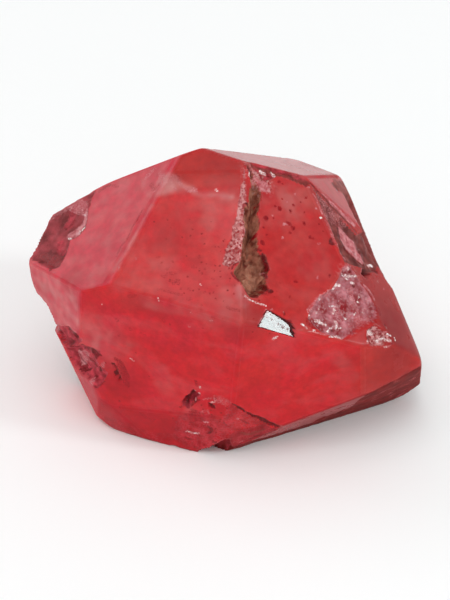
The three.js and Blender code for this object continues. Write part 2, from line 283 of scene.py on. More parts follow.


# How each facet leans to raspberry (-1) or brick (+1), how milky it is, how dark and how peppered. The dark
# of the right-hand facets and the undercuts, which face away from the lamps, is painted shade as well as
# deeper colour.
leanings = {
    "left_face": (-1, 0.18, 0.1, 0), "left_wall": (-1, 0.33, 0, 0), "left_chamfer": (-0.6, 0.1, 0.15, 0),
    "middle_face": (0.3, 0.05, 0.12, 0.06), "front_wall": (0, 0, 0.06, 0.08),
    "right_wall": (0.2, 0, 0.12, 0.1), "corner_wall": (0.8, 0.05, 0.12, 0),
    "seam_face": (0.6, 0.05, 0.3, 0.14), "cloud_face": (0.6, 0.05, 0.3, 0.1),
    "right_face": (0.9, 0.15, 0.5, 0.1), "right_slope": (0.9, 0, 0.85, 0),
    "tip_front": (0.9, 0, 0.34, 0.05), "tip_rear": (-0.1, 0.25, 0.4, 0), "tip_right": (-0.2, 0.2, 0.4, 0),
    "front_root": (0, 0, 0.25, 0.1), "front_under": (-0.1, 0, 0.35, 0), "rear_face": (0.3, 0.2, 0.1, 0.1),
    "rear_left_face": (-0.4, 0.2, 0.1, 0), "rear_wall": (0, 0.1, 0.2, 0.2),
    "rear_left_wall": (-0.5, 0.1, 0.15, 0), "rear_right_wall": (0.4, 0, 0.3, 0.1),
    "right_end": (0.8, 0, 0.3, 0), "right_under": (0.2, 0, 0.6, 0), "left_end": (-0.7, 0.2, 0.1, 0),
    "left_slope": (-0.6, 0.2, 0.14, 0.05), "rear_right_face": (0.4, 0.16, 0.2, 0.05),
    "rear_left_slope": (-0.2, 0.22, 0.12, 0.05),
}
tone = np.zeros(len(directions))
for name, (lean, milky, dark, peppered) in leanings.items():
    own = ease(share_of_top(name), 0.992, 1)  # neighbours blend over 0.2 mm, or more if they meet flatly
    tone += lean * own
    for soft_name, amount in zip(soft, (milky, dark, peppered)):
        finish[soft_name] = np.maximum(finish[soft_name], amount * own)

# The root and most undercuts were never polished. The right undercut was, except inside this outline.
# Their dark rind is also painted shade, where the stone turns under towards the floor.
HALF_STONE = 25  # mm from the heart to the surface at most, which makes that share a distance
right_husk_and_shade = [
    (-2.7, -11.5), (-4.2, -4.3), (-3.1, -2.7), (-0.1, -3.5), (2.7, -3.3), (5.8, -2.5), (8.2, -1.2),
    (10.3, 0.1), (10.4, 3.4), (11.3, 5.5), (13.8, 6.4), (14.8, 8.6), (15.7, 11.1), (21.5, 4.4),
    (25.6, -12.4), (10.6, -20.2), (0.7, -19.2)]
for name in ("right_under", "right_corner_under", "rear_under", "rear_right_under", "root"):
    inside = HALF_STONE * (share_of_top(name) - 1) + 0.1 + 0.1 * wander[0]
    if name == "right_under":
        across, up = spots_on(name)[:2]
        inside = np.minimum(inside, 0.6 * wander[1] - beyond_outline(across, up, right_husk_and_shade))
    lay("husk_and_shade", 1, inside)

# Hollows: what has broken or grown out of a facet. Finish and its share, depth, lean (mm that the wall
# goes out for each mm up), relief of the floor, raggedness of the outline, outline [across, up]. The
# step and the shelf are floors of their own, so they have no depth.
hollows = {
    "tip_rim": ("seam_face", "chip", 0.75, 0.45, 0.3, 0.14, 0.12, [
        (4.4, 12.4), (5.9, 11.8), (7.8, 10.6), (9.4, 9.2), (10.9, 7.4), (9.6, 6.7), (8.5, 7.8), (7.5, 8.6),
        (6.5, 9.4), (5.4, 9.2), (4.5, 9.4), (4.1, 10.4)]),
    "cloud_patch": ("cloud_face", "frost", 1, 0.4, 0.5, 0.15, 0.1, [
        (8.2, -2.5), (9.2, -4.3), (10.1, -5.6), (10.3, -7.3), (10.1, -8.7), (8.5, -9.7), (6.6, -9.6),
        (3.5, -9.7), (1.4, -7.9), (0.6, -5.9), (1.3, -5.2), (3.2, -4.3), (5.4, -4.1), (6.9, -3.4)]),
    "mirror_step": ("mirror_floor", "mirror", 1, 0, 0.1, 0, 0, [
        (-4.7, -3.1), (-2.8, -1.8), (-2.4, -1.9), (-1.4, -3.1), (-0.5, -4.3), (-0.7, -5.3), (-0.5, -6),
        (-2.6, -4.5)]),
    "root_shelf": ("shelf_floor", "chip", 0.35, 0, 0.1, 0.05, 0.05, [
        (-1.6, -2.1), (0.4, -4), (2.5, -5.7), (4, -7.2), (6.1, -9.1), (6.6, -14), (-3, -14), (-3.9, -8.5)]),
    "root_notch": ("front_root", "chip", 0.5, 1.9, 0.4, 0.1, 0.1, [
        (-0.6, -16.6), (0.4, -12.8), (1.6, -11.8), (3.3, -10.6), (4.1, -10.5), (5, -10.8), (5.7, -14.6)]),
    "dark_pit": ("front_root", "chip", 1, 1.1, 0.4, 0.3, 0.22, [
        (0.2, -3), (0.8, -3.4), (1.3, -3.6), (1.5, -3.9), (0.9, -4.7), (0.4, -5.1), (0.1, -5.8),
        (-0.2, -6.3), (-1.1, -6.2), (-1, -5.5), (-0.5, -4.4), (-0.2, -3.6)]),
    # The small pit, the slit and the hole in the flank are painted dark through: painted shade in them.
    "small_pit": ("front_root", "stain_and_shade", 1, 0.6, 0.2, 0.1, 0.05, [
        (2.2, -4.9), (2.6, -4.7), (3.1, -5), (2.9, -5.4), (2.3, -5.4)]),
    "slit_pit": ("front_wall", "stain_and_shade", 1, 0.7, 0.15, 0.1, 0.05, [
        (-9.5, -3.5), (-9.1, -3.5), (-8.9, -4.3), (-8.5, -4.9), (-8.3, -5.3), (-8.5, -5.6), (-8.8, -5.7),
        (-9.1, -5.1), (-9.3, -4.1)]),
    "left_skin": ("left_face", "skin", 1, 0.35, 0.8, 0.18, 0.15, [
        (-14.6, -12.5), (-12.4, -12), (-8.8, -11.1), (-8, -10), (-8.9, -8.2), (-9.9, -7.3), (-9.3, -6.1),
        (-9.4, -4.9), (-11, -3.8), (-12, -2.7), (-13, -1.3), (-15, -2.6), (-17, -6), (-17, -10)]),
    "grain_band": ("middle_face", "grain", 0.8, 0.2, 0.8, 0.08, 0.25, [
        (1.1, 12.2), (1.8, 12.3), (2.5, 10.7), (3.3, 8.7), (3.4, 6), (3.6, 3.5), (3.4, 1.2), (2.1, 0.2),
        (1.6, 0.6), (1.6, 2), (1.7, 3.9), (2, 5.5), (1.7, 7.4), (1.8, 8.5), (1.4, 10.9)]),
    "brown_flank": ("right_face", "crust", 1, 0.35, 0.8, 0.15, 0.1, [
        (6.1, 4.4), (6.2, 3.1), (6.2, 1.1), (6.3, -0.7), (6.4, -2.3), (6.3, -3.5), (9.6, -4.6), (9.6, -5.4),
        (6.5, -7.8), (4.3, -7.7), (2.7, -6.7), (2.5, -5.7), (0.5, -3.2), (1.8, -1.5), (3.5, 0.7),
        (5.1, 3.1)]),
    "flank_bite": ("right_slope", "crust", 0.7, 1, 0.8, 0.1, 0.1, [
        (7, 5), (3, 4.6), (-1, 1.6), (-4.2, -1.6), (-4.6, -3.4), (-1.6, -5), (2, -4), (5, -0.6), (7, 2.2)]),
    "flank_hole": ("right_face", "stain_and_shade", 1, 1.6, 0.15, 0.1, 0.05, [
        (2.5, -5.7), (3.7, -6.6), (3, -7.2), (1.7, -6.8), (1.5, -5.8)]),
    "glint_hollow": ("cloud_face", "grain", 1, 0.5, 0.5, 0.2, 0.12, [
        (6.9, -9.9), (8.3, -10), (9.4, -11.2), (9.4, -12.3), (7.9, -12.6), (6.6, -11.8), (6.5, -10.7)]),
    "upper_chip": ("left_chamfer", "chip", 1, 0.8, 0.4, 0.25, 0.15, [
        (-12.6, 0.4), (-9.2, 1.9), (-7.5, 1.7), (-6.7, 0.9), (-8.6, -0.9), (-10.7, -1.8), (-12.8, -1.2)]),
    "tip_nick": ("left_under", "chip", 0.6, 0.6, 1, 0.1, 0.15, [
        (-11.6, 5.2), (-9.6, 6.2), (-7.8, 7), (-6, 6.6), (-4.6, 5), (-4, 4), (-5.6, 2.2), (-8.4, 0.6),
        (-11.4, -1.4), (-12.4, 1.8)]),
    "lower_chip": ("left_chamfer", "chip", 1, 1, 0.5, 0.3, 0.15, [
        (-10.3, -1.9), (-7.3, 0.2), (-4.6, 0.8), (-4, -0.5), (-3.8, -3.4), (-4.7, -5.1), (-5.6, -4.6),
        (-8.2, -4.6), (-10.3, -3.5)]),
    "seam_pocket": ("seam_face", "matrix", 1, 2, 0.35, 0.35, 0.12, [
        (-0.2, 2.5), (0, 1.8), (0.4, 1.4), (0.3, 0.2), (0.3, -0.3), (-0.5, -1), (-1, -1.6), (-1.2, -2.4),
        (-1.8, -2.6), (-3.2, -2.6), (-3.7, -2.3), (-3.8, -0.6), (-4, 0.1), (-4.2, 0.9), (-3.8, 1.4),
        (-2.7, 1.9), (-1.9, 2.8)]),
    "rear_pocket": ("rear_wall", "matrix", 1, 1.1, 0.6, 0.35, 0.4, [
        (-7.6, 4.6), (-4.6, 4.4), (-2.6, 5.2), (-0.6, 3.4), (1.4, 3), (2.6, 0.6), (0.4, -0.2), (-1, -1.8),
        (-2.4, -0.6), (-4, 0.2), (-5.4, -0.6), (-5.8, 2.2)]),
    "rear_left_skin": ("rear_left_wall", "skin", 1, 0.45, 0.8, 0.2, 0.45, [
        (-6.5, 5.2), (-4.2, 7.6), (-0.8, 6.9), (1.2, 5.2), (2.9, 2.2), (2.2, 0.4), (0.6, -2.6),
        (-0.8, -3.4), (-2.2, -2.2), (-3.2, 0.4), (-4.6, 1.2), (-6.4, 2.6)]),
    "rear_root_break": ("rear_under", "chip", 0.7, 0.9, 0.7, 0.3, 0.5, [
        (-5.8, 1.8), (-1.6, 2.9), (2.2, 1.7), (4, -1.2), (1.8, -4.4), (-3, -4.8), (-6.2, -1.8)]),
    "rear_right_chip": ("rear_right_wall", "chip", 0.6, 0.7, 0.6, 0.2, 0.4, [
        (-4.6, 5), (-2.2, 4.2), (-0.2, 5.8), (1.8, 3.2), (1, 1.6), (1.6, -0.6), (-1, 0), (-2.4, -1),
        (-3.2, 1), (-5, 1.6)]),
}
uncut = radius


def taken_out(radius, floor, name, share, inside):
    """The surface once what stands above a hollow's floor has gone: the lesser radius. The finish goes
    0.1 mm past where the wall comes out. There, a millimetre of depth counts as four of distance."""
    lay(name, share, np.minimum(inside, 4 * (radius - floor)) + 0.1)
    return np.minimum(radius, floor)


for facet, name, share, depth, lean, relief, ragged, outline in hollows.values():
    across, up, facing, distance = spots_on(facet)
    beyond = beyond_outline(across + ragged * wander[0], up + ragged * wander[1], outline)
    wall = np.maximum(beyond / lean + depth, 0)
    floor = (distance - depth + wall + relief * ripple * ease(-beyond, 0, 0.6)) / facing
    radius = taken_out(radius, floor, name, share, lean * depth - beyond)

# Furrows: V-shaped, along a spine [across, up, half width]. Finish, its share and the greatest depth.
furrows = {
    "seam_cleft": ("seam_face", "matrix", 1, 1.8, 0.25, [
        (4, 11.6, 0.12), (3.8, 10.8, 0.2), (3.7, 10.2, 0.2), (3.5, 9.4, 0.25), (3.2, 8.3, 0.8),
        (2.4, 7.2, 0.65), (1.5, 6.3, 0.85), (1, 5.5, 0.95), (0.5, 4.5, 0.75), (-0.2, 3.5, 0.9),
        (-1, 2.5, 1), (-1.6, 1.3, 1)]),
    "root_crack": ("right_wall", "stain_and_shade", 1, 0.7, 0.12, [
        (-1.8, -4.4, 0.12), (-0.9, -5.1, 0.25), (-0.1, -6, 0.18), (0.5, -6.3, 0.25), (1.1, -6.9, 0.2),
        (2.2, -7.7, 0.28), (3.1, -8.3, 0.25), (4.6, -9.6, 0.3)]),
    "rear_seam": ("rear_face", "matrix", 0.9, 0.9, 0.3, [
        (-7, 5.5, 0.2), (-4.5, 4.2, 0.5), (-2, 3.4, 0.4), (0.8, 1.6, 0.6), (3.4, 0.2, 0.4),
        (5.6, -2, 0.2)]),
}
FULL_WIDTH = 0.8  # mm; a furrow whose half width is less isn't as deep
for facet, name, share, depth, ragged, spine in furrows.values():
    across, up, facing, distance = spots_on(facet)
    gap, width = beside_spine(across + ragged * wander[0], up + ragged * wander[1], spine)
    vee = depth * np.minimum(width / FULL_WIDTH, 1) * (gap / width - 1)
    floor = (distance + vee + 0.2 * ripple * (gap < width) * width) / facing
    radius = taken_out(radius, floor, name, share, width - gap)

on_edge *= 1 - ease(uncut - radius, 0.02, 0.1)  # a broken edge isn't a worn one

# -- What marks it --------------------------------------------------------------------------

# Marks that lie level with their facet, by facet and finish: share, half width of a line (0 when the
# points are a closed outline) and the points. Their borders stray by a tenth of a millimetre or two.
# The glints among them are painted highlights.
LINE_STRAY = 0.12
DOT_STRAY = 0.22
marks = {
    # Left face: the torn border of its skin, chips in the skin, pale bruises by the ridge, and painted
    # highlights on the skin's glossy rim.
    ("left_face", "milk"): [
        (0.35, 0, [(-8.8, 3.5), (-8.1, 5.6), (-5.1, 4.1), (-4.8, 2.7), (-7.1, 2.5)]),
        (0.35, 0.35, [(-4.1, 2.4), (-3.1, 0.2), (-1.8, -2.9), (-1, -5.6)])],
    ("left_face", "chip"): [
        (0.8, 0, [(-12, -8.6), (-11.3, -7.9), (-10.4, -8.1), (-10.3, -9), (-9.9, -8.4), (-9.4, -8.5),
            (-9.4, -9.2), (-10.2, -9.6), (-11.3, -9.4)]),
        (0.8, 0, [(-14.8, -5), (-13.9, -4.7), (-12.7, -5.4), (-11.8, -6.2), (-12.3, -7), (-13.1, -7.2),
            (-13.5, -6.1)]),
        (0.8, 0, [(-13.2, -3), (-12.5, -2.5), (-11.9, -2.9), (-11.7, -3.5), (-12.7, -3.5)])],
    ("left_face", "blush_and_highlight"): [
        (0.9, 0, [(-12.5, -4), (-12.1, -3.7), (-11.2, -3.8), (-10.5, -4.4), (-10.3, -5.1), (-9.8, -6),
            (-10.2, -6.8), (-10.7, -7.4), (-11.4, -7.5), (-11.6, -7.1), (-11.2, -6.3), (-11.3, -5.7),
            (-11.1, -5), (-11.5, -4.5), (-12.3, -4.4)]),
        (0.5, 0, [(-15.3, -5.4), (-14.3, -3.3), (-13.1, -2.8), (-11.7, -3.9), (-12.4, -4.7), (-14, -5.2)]),
        (0.35, 0, [(-7.3, 5.5), (-6.8, 6), (-5.9, 5.9), (-5.9, 5.3), (-6.7, 5.1)]),
        (0.35, 0.35, [(-15.3, -9.7), (-15.8, -8.4), (-15.8, -6.8), (-15.1, -5.3)]),
        (0.3, 0.25, [(-8.1, 4), (-8.3, 4.8), (-8.1, 5.6)]),
        (0.45, 0.12, [(-5.5, 3.4), (-5.4, 3.8), (-5.5, 4.4)])],
    ("left_face", "blood"): [
        (0.5, 0, [(-13.1, -11.7), (-12.3, -10.7), (-10.6, -9.9), (-8.8, -9), (-8.7, -10), (-9, -11.1),
            (-10.5, -11.3), (-11.9, -11.5)]),
        (0.6, 0, [(-13.6, -3.1), (-13.1, -2.3), (-11.8, -2.7), (-12, -3.5)]),
        (0.5, 0.22, [(-12.4, -0.9), (-12.1, -0.4), (-11.8, 0.4)]),
        (0.35, 0.2, [(-11.4, 0.5), (-10.4, 0.9)]),
        (0.4, 0.1, [(-4.7, 1.5), (-4.3, 0.4), (-3.7, -1), (-2.9, -2.2), (-2.8, -3.2), (-2.1, -4.3)]),
        (0.35, 0.3, [(-6.6, 4.1), (-5.8, 3.9)]),
        (0.3, 0.35, [(-12.6, 1.2), (-11.5, 2.8), (-10.5, 4.5)]),
        (0.35, 0.22, [(-6.7, 4), (-6.1, 3.9)])],
    ("left_face", "painted_glint"): [
        (0.8, 0.12, [(-10.2, -4.6), (-10.1, -5.1), (-10.1, -5.6)]),
        (0.6, 0.14, [(-12, -4.2), (-11.7, -4.3)]),
        (0.7, 0.1, [(-10.8, -7.3), (-10.4, -7.2)]),
        (0.3, 0.14, [(-10.5, -5.8), (-9.8, -6.1)])],
    # Left bevel: what shows inside its two chips, with painted highlights on their pale parts.
    ("left_chamfer", "chip"): [
        (1, 0, [(-5.3, -3.1), (-4.7, -2.7), (-4.3, -3.1), (-4.6, -4.2), (-5.3, -5.5), (-5.7, -5.7),
            (-6, -5.2), (-6, -4.5)])],
    ("left_chamfer", "blush_and_highlight"): [
        (0.7, 0, [(-9.6, -2.4), (-8.9, -2.2), (-8.1, -1.6), (-7.4, -1.6), (-7.5, -2.4), (-7.2, -3.2),
            (-7.9, -3.5), (-8.5, -4.1), (-9.1, -3.7), (-9.6, -3.1)]),
        (0.6, 0.2, [(-4.8, -1.8), (-4.9, -2.3)]),
        (0.5, 0.25, [(-6, -4.6), (-6.1, -5.3)])],
    ("left_chamfer", "blood"): [
        (0.8, 0.3, [(-7.5, -2.7), (-6.6, -2.6), (-6.2, -2.9)])],
    ("left_chamfer", "stain_and_shade"): [
        (1, 0, [(-9.4, 0.9), (-8.8, 1.3), (-8.6, 0.9), (-8.9, 0.1), (-9.4, -0.3), (-9.6, 0)]),
        (0.6, 0.2, [(-10.5, 0.6), (-9.9, 1.1), (-9.5, 1)]),
        (0.8, 0.13, [(-10.2, -0.7), (-9.8, -0.9), (-9.3, -1.2)]),
        (0.9, 0.16, [(-6.9, 0.3), (-6.2, -0.1), (-5.8, -0.4), (-5.2, -0.7)]),
        (1, 0.22, [(-6.3, -0.4), (-6.2, -0.7)]),
        (0.7, 0.15, [(-9, -1.3), (-8.5, -1.2), (-8.1, -1.2)]),
        (0.7, 0.1, [(-8, -2.4), (-7.7, -2.7), (-7.3, -2.9)]),
        (0.8, 0.14, [(-8.3, -4.4), (-7.7, -4.3), (-7.3, -4.1)]),
        (0.9, 0.2, [(-5.6, -2.9), (-5.4, -3.2)]),
        (0.6, 0.1, [(-5.4, -5.1), (-5.1, -5.2), (-4.6, -4.5)]),
        (0.7, 0.13, [(-9.3, -2.9), (-8.8, -3.4), (-8.1, -4)])],
    # Front of the point: the milky cloud under its ridge.
    ("tip_front", "milk"): [
        (0.45, 0, [(-9, 9.9), (-8, 10.6), (-6.2, 9.8), (-5.2, 8.8), (-3.9, 8.3), (-4.6, 7.6), (-6.5, 7.6),
            (-8.4, 7.5)]),
        (0.35, 0, [(-7.4, 9.7), (-6.4, 9.8), (-5.5, 9.6), (-4.7, 8.9), (-4.1, 8.1), (-4.4, 7.8),
            (-5.3, 8.3), (-6.4, 8.9)])],
    ("tip_front", "blush_and_highlight"): [
        (0.3, 0, [(-7.6, 9.3), (-6.9, 9.6), (-6.2, 9.1), (-6.6, 8.5), (-7.4, 8.6)]),
        (0.35, 0.2, [(-7.1, 9.9), (-6.3, 9.6), (-5.2, 8.8)])],
    ("tip_front", "blood"): [
        (0.25, 0.3, [(-6.2, 9.7), (-5.6, 9.1)])],
    # Rear of the point: rust along its far edge.
    ("tip_rear", "rust"): [
        (0.45, 0.4, [(1.3, -10.8), (-0.1, -12), (-2.1, -12.3), (-5.1, -9.7)]),
        (0.25, 0.5, [(0.8, -6), (-1.2, -6.3), (-3.1, -7.7), (-4.1, -9.8)])],
    ("tip_rear", "blush_and_highlight"): [
        (0.35, 0.3, [(-2.7, -6.5), (-3.3, -7.9), (-4, -8.6)])],
    ("tip_rear", "blood"): [
        (0.35, 0.25, [(1.2, -3.1), (-1.2, -6.3), (-3.5, -9.5), (-5.3, -11.4)])],
    # Middle face: the milky line at its top, the cleft's pale rim, faint red flecks.
    ("middle_face", "milk"): [
        (0.6, 0, [(-9.1, 10), (-7.9, 10.7), (-5.6, 9.1), (-5.6, 8.1), (-7.3, 7.3), (-8.3, 7.4)]),
        (0.5, 0.35, [(-2.3, 8.4), (-1.1, 8.5), (0.3, 8.5)]),
        (0.6, 0.5, [(4, -2.1), (4.7, -2.9), (5.1, -3.4)]),
        (0.3, 0.2, [(-9.8, -1.2), (-9.9, -1.9)]),
        (0.75, 0.3, [(-6.5, 9.9), (-4.9, 8.9), (-3.6, 8.5)]),
        (0.7, 0.2, [(-3.6, 8.3), (-1.7, 8.4), (0.8, 8.6)])],
    ("middle_face", "blush_and_highlight"): [
        (0.25, 0, [(-8.4, 9.6), (-7.4, 9.8), (-7, 8.9), (-7.9, 8.6)]),
        (0.2, 0.35, [(1.3, 12), (1.5, 11.1), (1.8, 10.2), (2.1, 9.2), (2.1, 8)]),
        (0.5, 0.12, [(1.8, 8.4), (2.2, 7.6)]),
        (0.5, 0.14, [(-4.9, 8.8), (-4.2, 8.4), (-3.3, 8.5)]),
        (0.35, 0.1, [(-8.5, 10.3), (-7.8, 9.7), (-7.9, 8.9)]),
        (0.3, 0.12, [(-4.5, 8.5), (-4.2, 8.9), (-3.4, 8.8)]),
        (0.35, 0.2, [(-7.9, 9.7), (-7.2, 9.3), (-7.2, 8.6)]),
        (0.5, 0.14, [(-4.5, 8.4), (-4.1, 8.3), (-3.8, 8.4)]),
        (0.35, 0.16, [(-6.3, 9.8), (-5.7, 9.5), (-5.1, 8.9)]),
        (0.3, 0.2, [(-6.9, 9.1), (-6.4, 8.9), (-5.7, 8.4)])],
    ("middle_face", "blood"): [
        (0.3, 0.14, [(-4.8, -3.6), (-4, -3.6), (-3.1, -3.7), (-2.1, -3.8)]),
        (0.3, 0.12, [(-4.9, -1.9), (-4.4, -1.9)]),
        (0.35, 0.15, [(-3.8, -2.3), (-3.2, -2.4), (-2.8, -2.1), (-2.7, -2.5)]),
        (0.3, 0.14, [(-4.4, -1.6), (-3.9, -1.5), (-3.4, -1.5)]),
        (0.25, 0.25, [(-8.9, 8.9), (-8.2, 9.2)]),
        (0.3, 0.2, [(-6.2, 10.5), (-5.9, 10.1)])],
    # Seam face: the stained rims of cleft and pocket, sand in the pocket, the tip's broken rim
    # with painted glints.
    ("seam_face", "rust"): [
        (0.9, 0, [(0.4, 1.7), (0.6, 1.4), (0.5, 0.6), (0.1, -0.3), (-0.4, -0.7), (-0.4, -0.1),
            (-0.2, 0.8)]),
        (0.7, 0.3, [(8, 9.3), (8.9, 8.5), (9.8, 7.8), (10.4, 7.4)]),
        (0.9, 0.2, [(4, 12.5), (5.4, 11.3), (6.9, 10), (8.5, 8.8), (9.6, 7.5)])],
    ("seam_face", "grain"): [
        (0.8, 0, [(3.6, 11), (5, 10.6), (5.4, 8.9), (5.3, 8), (4.4, 7.8), (3.8, 8.4)]),
        (0.7, 0.35, [(3.9, 11.8), (4.4, 11.1), (5.2, 10.3)])],
    ("seam_face", "tan"): [
        (1, 0, [(-1.9, 1.2), (-1, 1.6), (0.1, 1.5), (0.4, 0.7), (-0.2, 0), (-0.4, -0.9), (-1.4, -1.2),
            (-1.8, -2), (-2.7, -1.7), (-3.1, -0.8), (-3, -0.1), (-2.2, 0)])],
    ("seam_face", "blush_and_highlight"): [
        (0.8, 0, [(3.8, 9.4), (4.7, 9.4), (5.1, 8.9), (5.2, 8.1), (4.8, 7.8), (4.1, 7.9), (3.9, 8.5)]),
        (0.6, 0, [(3.5, 10.1), (4.1, 10.2), (4.5, 9.6), (3.9, 9.3), (3.4, 9.5)]),
        (0.6, 0.12, [(9.8, 5.8), (10, 5), (9.8, 4.1), (9.7, 3.2)]),
        (0.8, 0.12, [(-0.3, -0.3), (-0.5, -0.9)])],
    ("seam_face", "blood"): [
        (0.5, 0.3, [(-1.9, -2.4), (-1.5, -2.6), (-0.9, -2.7)])],
    ("seam_face", "stain_and_shade"): [
        (0.8, 0.14, [(6.1, 10.7), (6.1, 10)]),
        (0.7, 0.12, [(5.4, 11.4), (5.7, 11.1)]),
        (0.6, 0.14, [(7.5, 9.9), (8.1, 9.5), (8.8, 8.9)]),
        (0.6, 0.14, [(8.5, 9), (8.9, 8.5)]),
        (1, 0.1, [(4, 11.6), (4, 11.1), (3.9, 10.7)]),
        (1, 0.16, [(0.3, 1.6), (0.3, 1.1), (0.2, 0.4), (0.1, -0.3)]),
        (0.9, 0.16, [(-0.4, -0.6), (-0.5, -1.1)]),
        (0.8, 0.22, [(-1.3, -1.7), (-1.3, -2.3), (-0.9, -2.7)]),
        (0.9, 0.2, [(-3.3, -2.3), (-2.8, -2.5)]),
        (0.7, 0.14, [(-3.6, -1.4), (-3.6, -1.8)]),
        (0.7, 0.18, [(-3.7, 0.1), (-3.4, -0.3)]),
        (0.6, 0.12, [(-1.7, 1.8), (-1.5, 1.5)]),
        (0.6, 0.2, [(0.1, 2.5), (0.3, 2.1)]),
        (0.8, 0.12, [(-4.2, 1), (-4.1, 0.4), (-3.9, -0.2)]),
        (0.7, 0.12, [(-3.9, 1.5), (-3.3, 1.9), (-2.8, 1.9)])],
    ("seam_face", "painted_glint"): [
        (1, 0, [(5.4, 11), (5.7, 10.9), (5.7, 10.7), (6, 10.4), (5.8, 10.2), (5.5, 10.5), (5.3, 10.7)]),
        (1, 0, [(6.5, 10.4), (6.8, 10.3), (6.8, 10.1), (7.1, 9.8), (6.9, 9.6), (6.6, 9.7), (6.5, 10)]),
        (0.7, 0.08, [(3.6, 10.8), (3.4, 10.4)]),
        (0.45, 0.07, [(-4.1, -1.9), (-3.9, -2.5), (-3.5, -2.9), (-3.2, -3.3), (-2.4, -3.9)])],
    # Right of the point: rust where the crust of the flank starts.
    ("tip_right", "rust"): [
        (1, 0, [(8.4, -1), (9.8, -1.9), (12.3, -4.1), (10.5, -5.1), (8.5, -5.3), (5.8, -5), (7.1, -4.4),
            (7.9, -3.6), (8.5, -2.9), (8.2, -2.2), (7.9, -1.4)]),
        (0.6, 0, [(13.3, -11.6), (17.7, -14.5), (14.6, -15.7), (9.5, -14.9), (8, -13.1), (9.8, -12)])],
    ("tip_right", "stain_and_shade"): [
        (0.6, 0.12, [(8.9, -1.5), (8.5, -1.9), (8.2, -2.2)]),
        (0.8, 0.1, [(3.4, 3.4), (3.2, 2.4)]),
        (0.7, 0.2, [(8.6, -1.4), (8.5, -1.9), (8, -2.2)])],
    # Right face: the pale lens in its crust, the dark lines round it, partly painted shade under its
    # ledge, stains at the edge.
    ("right_face", "rust"): [
        (0.8, 0, [(6.9, 3), (7, 2), (7.2, 0.7), (7.4, -0.6), (7.3, -1.7), (6.3, -1), (6.1, -0.5),
            (5.2, 0.4), (5.7, 1.2), (6, 2.2)]),
        (0.7, 0, [(18.8, -7.8), (20.1, -8.6), (17.9, -9.9), (16.9, -9.5)])],
    ("right_face", "blush_and_highlight"): [
        (1, 0, [(5.5, -1), (5.5, -1.6), (5.6, -2.6), (5.6, -3.6), (5.3, -4.4), (4.9, -5), (4.6, -5.8),
            (4.2, -6.1), (3.7, -5.9), (3.4, -4.9), (3.2, -4), (3.1, -3.2), (3.4, -2.4), (4, -1.7),
            (4.6, -1.2)]),
        (0.7, 0, [(6.8, 4.4), (6.8, 3.3), (6.7, 1.3), (6.9, -0.5), (7.2, -2.1), (7.3, -2.8), (8.1, -2.9),
            (8.1, -1.8), (7.7, -0.1), (7.3, 1.6), (6.9, 3.4)]),
        (0.3, 0, [(6.1, 4), (6.3, 2.4), (6.4, 0.4), (6.6, -1.5), (6.2, -2), (5.4, -1.3), (4.6, 0.1),
            (4.4, 1.5), (5, 2.7)]),
        (0.35, 0, [(5.1, 3.1), (4.5, 1.7), (3.7, 0.4), (2.8, -0.8), (2.2, -2.1), (1.6, -3), (1.3, -2.2),
            (1.6, -1), (2.4, 0.1), (3.6, 1.6)]),
        (0.8, 0.13, [(3.9, 1.3), (3.6, 0.6), (2.9, -0.5), (2.2, -1.5), (1.8, -2.5), (1.5, -3.4)])],
    ("right_face", "stain_and_shade"): [
        (0.9, 0.09, [(6.5, 4.9), (6.5, 2.9), (6.4, 0.9), (6.8, -0.8), (7, -2.4)]),
        (0.9, 0.1, [(5.8, -0.5), (4.7, -1), (3.6, -1.7), (3, -2.7), (3, -3.5), (3.2, -4.5), (3.4, -5.5),
            (3.7, -6.1)]),
        (0.8, 0.15, [(5.1, -4.3), (5, -4.8), (5.1, -5.5), (4.9, -6.2)]),
        (0.9, 0.1, [(6.4, 4.8), (6.5, 3.2), (6.5, 1.2), (6.7, -0.6), (6.9, -2.2), (6.8, -3.5)])],
    ("right_face", "painted_glint"): [
        (1, 0.16, [(4.5, -6.8), (5.2, -7.2)])],
    # Cloud face: the frayed border of the sugary patch and the hollow, with painted glints on their
    # crystals.
    ("cloud_face", "milk"): [
        (0.8, 0, [(8.1, -2.6), (8.9, -3.6), (8.7, -4.6), (7.6, -4.8), (6.9, -4.1), (7.2, -3.2)])],
    ("cloud_face", "frost"): [
        (1, 0, [(8.1, -2.5), (9, -2.5), (9.3, -2.9), (9.5, -3.9), (9.5, -4.7), (8.9, -5.3), (7.9, -4.6),
            (7.4, -3.6), (7.2, -3)])],
    ("cloud_face", "blush_and_highlight"): [
        (0.8, 0.22, [(10.1, -5.5), (10.6, -6), (10.8, -6.7), (10.8, -7.6)]),
        (0.8, 0.22, [(0.9, -5.9), (1.5, -5.3), (2.4, -4.7), (3.1, -4.5), (3.8, -4.5)]),
        (1, 0.09, [(1.2, -8), (1.7, -8.3), (2.5, -8.4), (2.8, -8.5)]),
        (0.7, 0.1, [(8.5, -10.9), (9.1, -11.2), (9.5, -11.2)]),
        (0.7, 0.1, [(8.8, -13), (9.5, -12.8)]),
        (0.45, 0.4, [(7.9, -5.3), (7.5, -6.6), (7.4, -7.8), (6.9, -8.8)]),
        (0.5, 0.3, [(1.2, -5.9), (1.4, -5.1), (3.1, -4.4), (5.1, -4.4)])],
    ("cloud_face", "blood"): [
        (0.5, 0, [(5.7, -5.6), (6.4, -6.7), (5.7, -7.9), (4.2, -8.3), (4.1, -7)]),
        (0.6, 0, [(0.5, -5.7), (1.6, -6.2), (2.1, -7.4), (0.9, -7.3), (0.1, -6.3)]),
        (0.5, 0.35, [(0.9, -6.1), (1.1, -6.7)])],
    ("cloud_face", "stain_and_shade"): [
        (0.7, 0.14, [(7, -10.9), (7.2, -11.4)]),
        (0.7, 0.12, [(9.8, -10.5), (10, -11)])],
    ("cloud_face", "painted_glint"): [
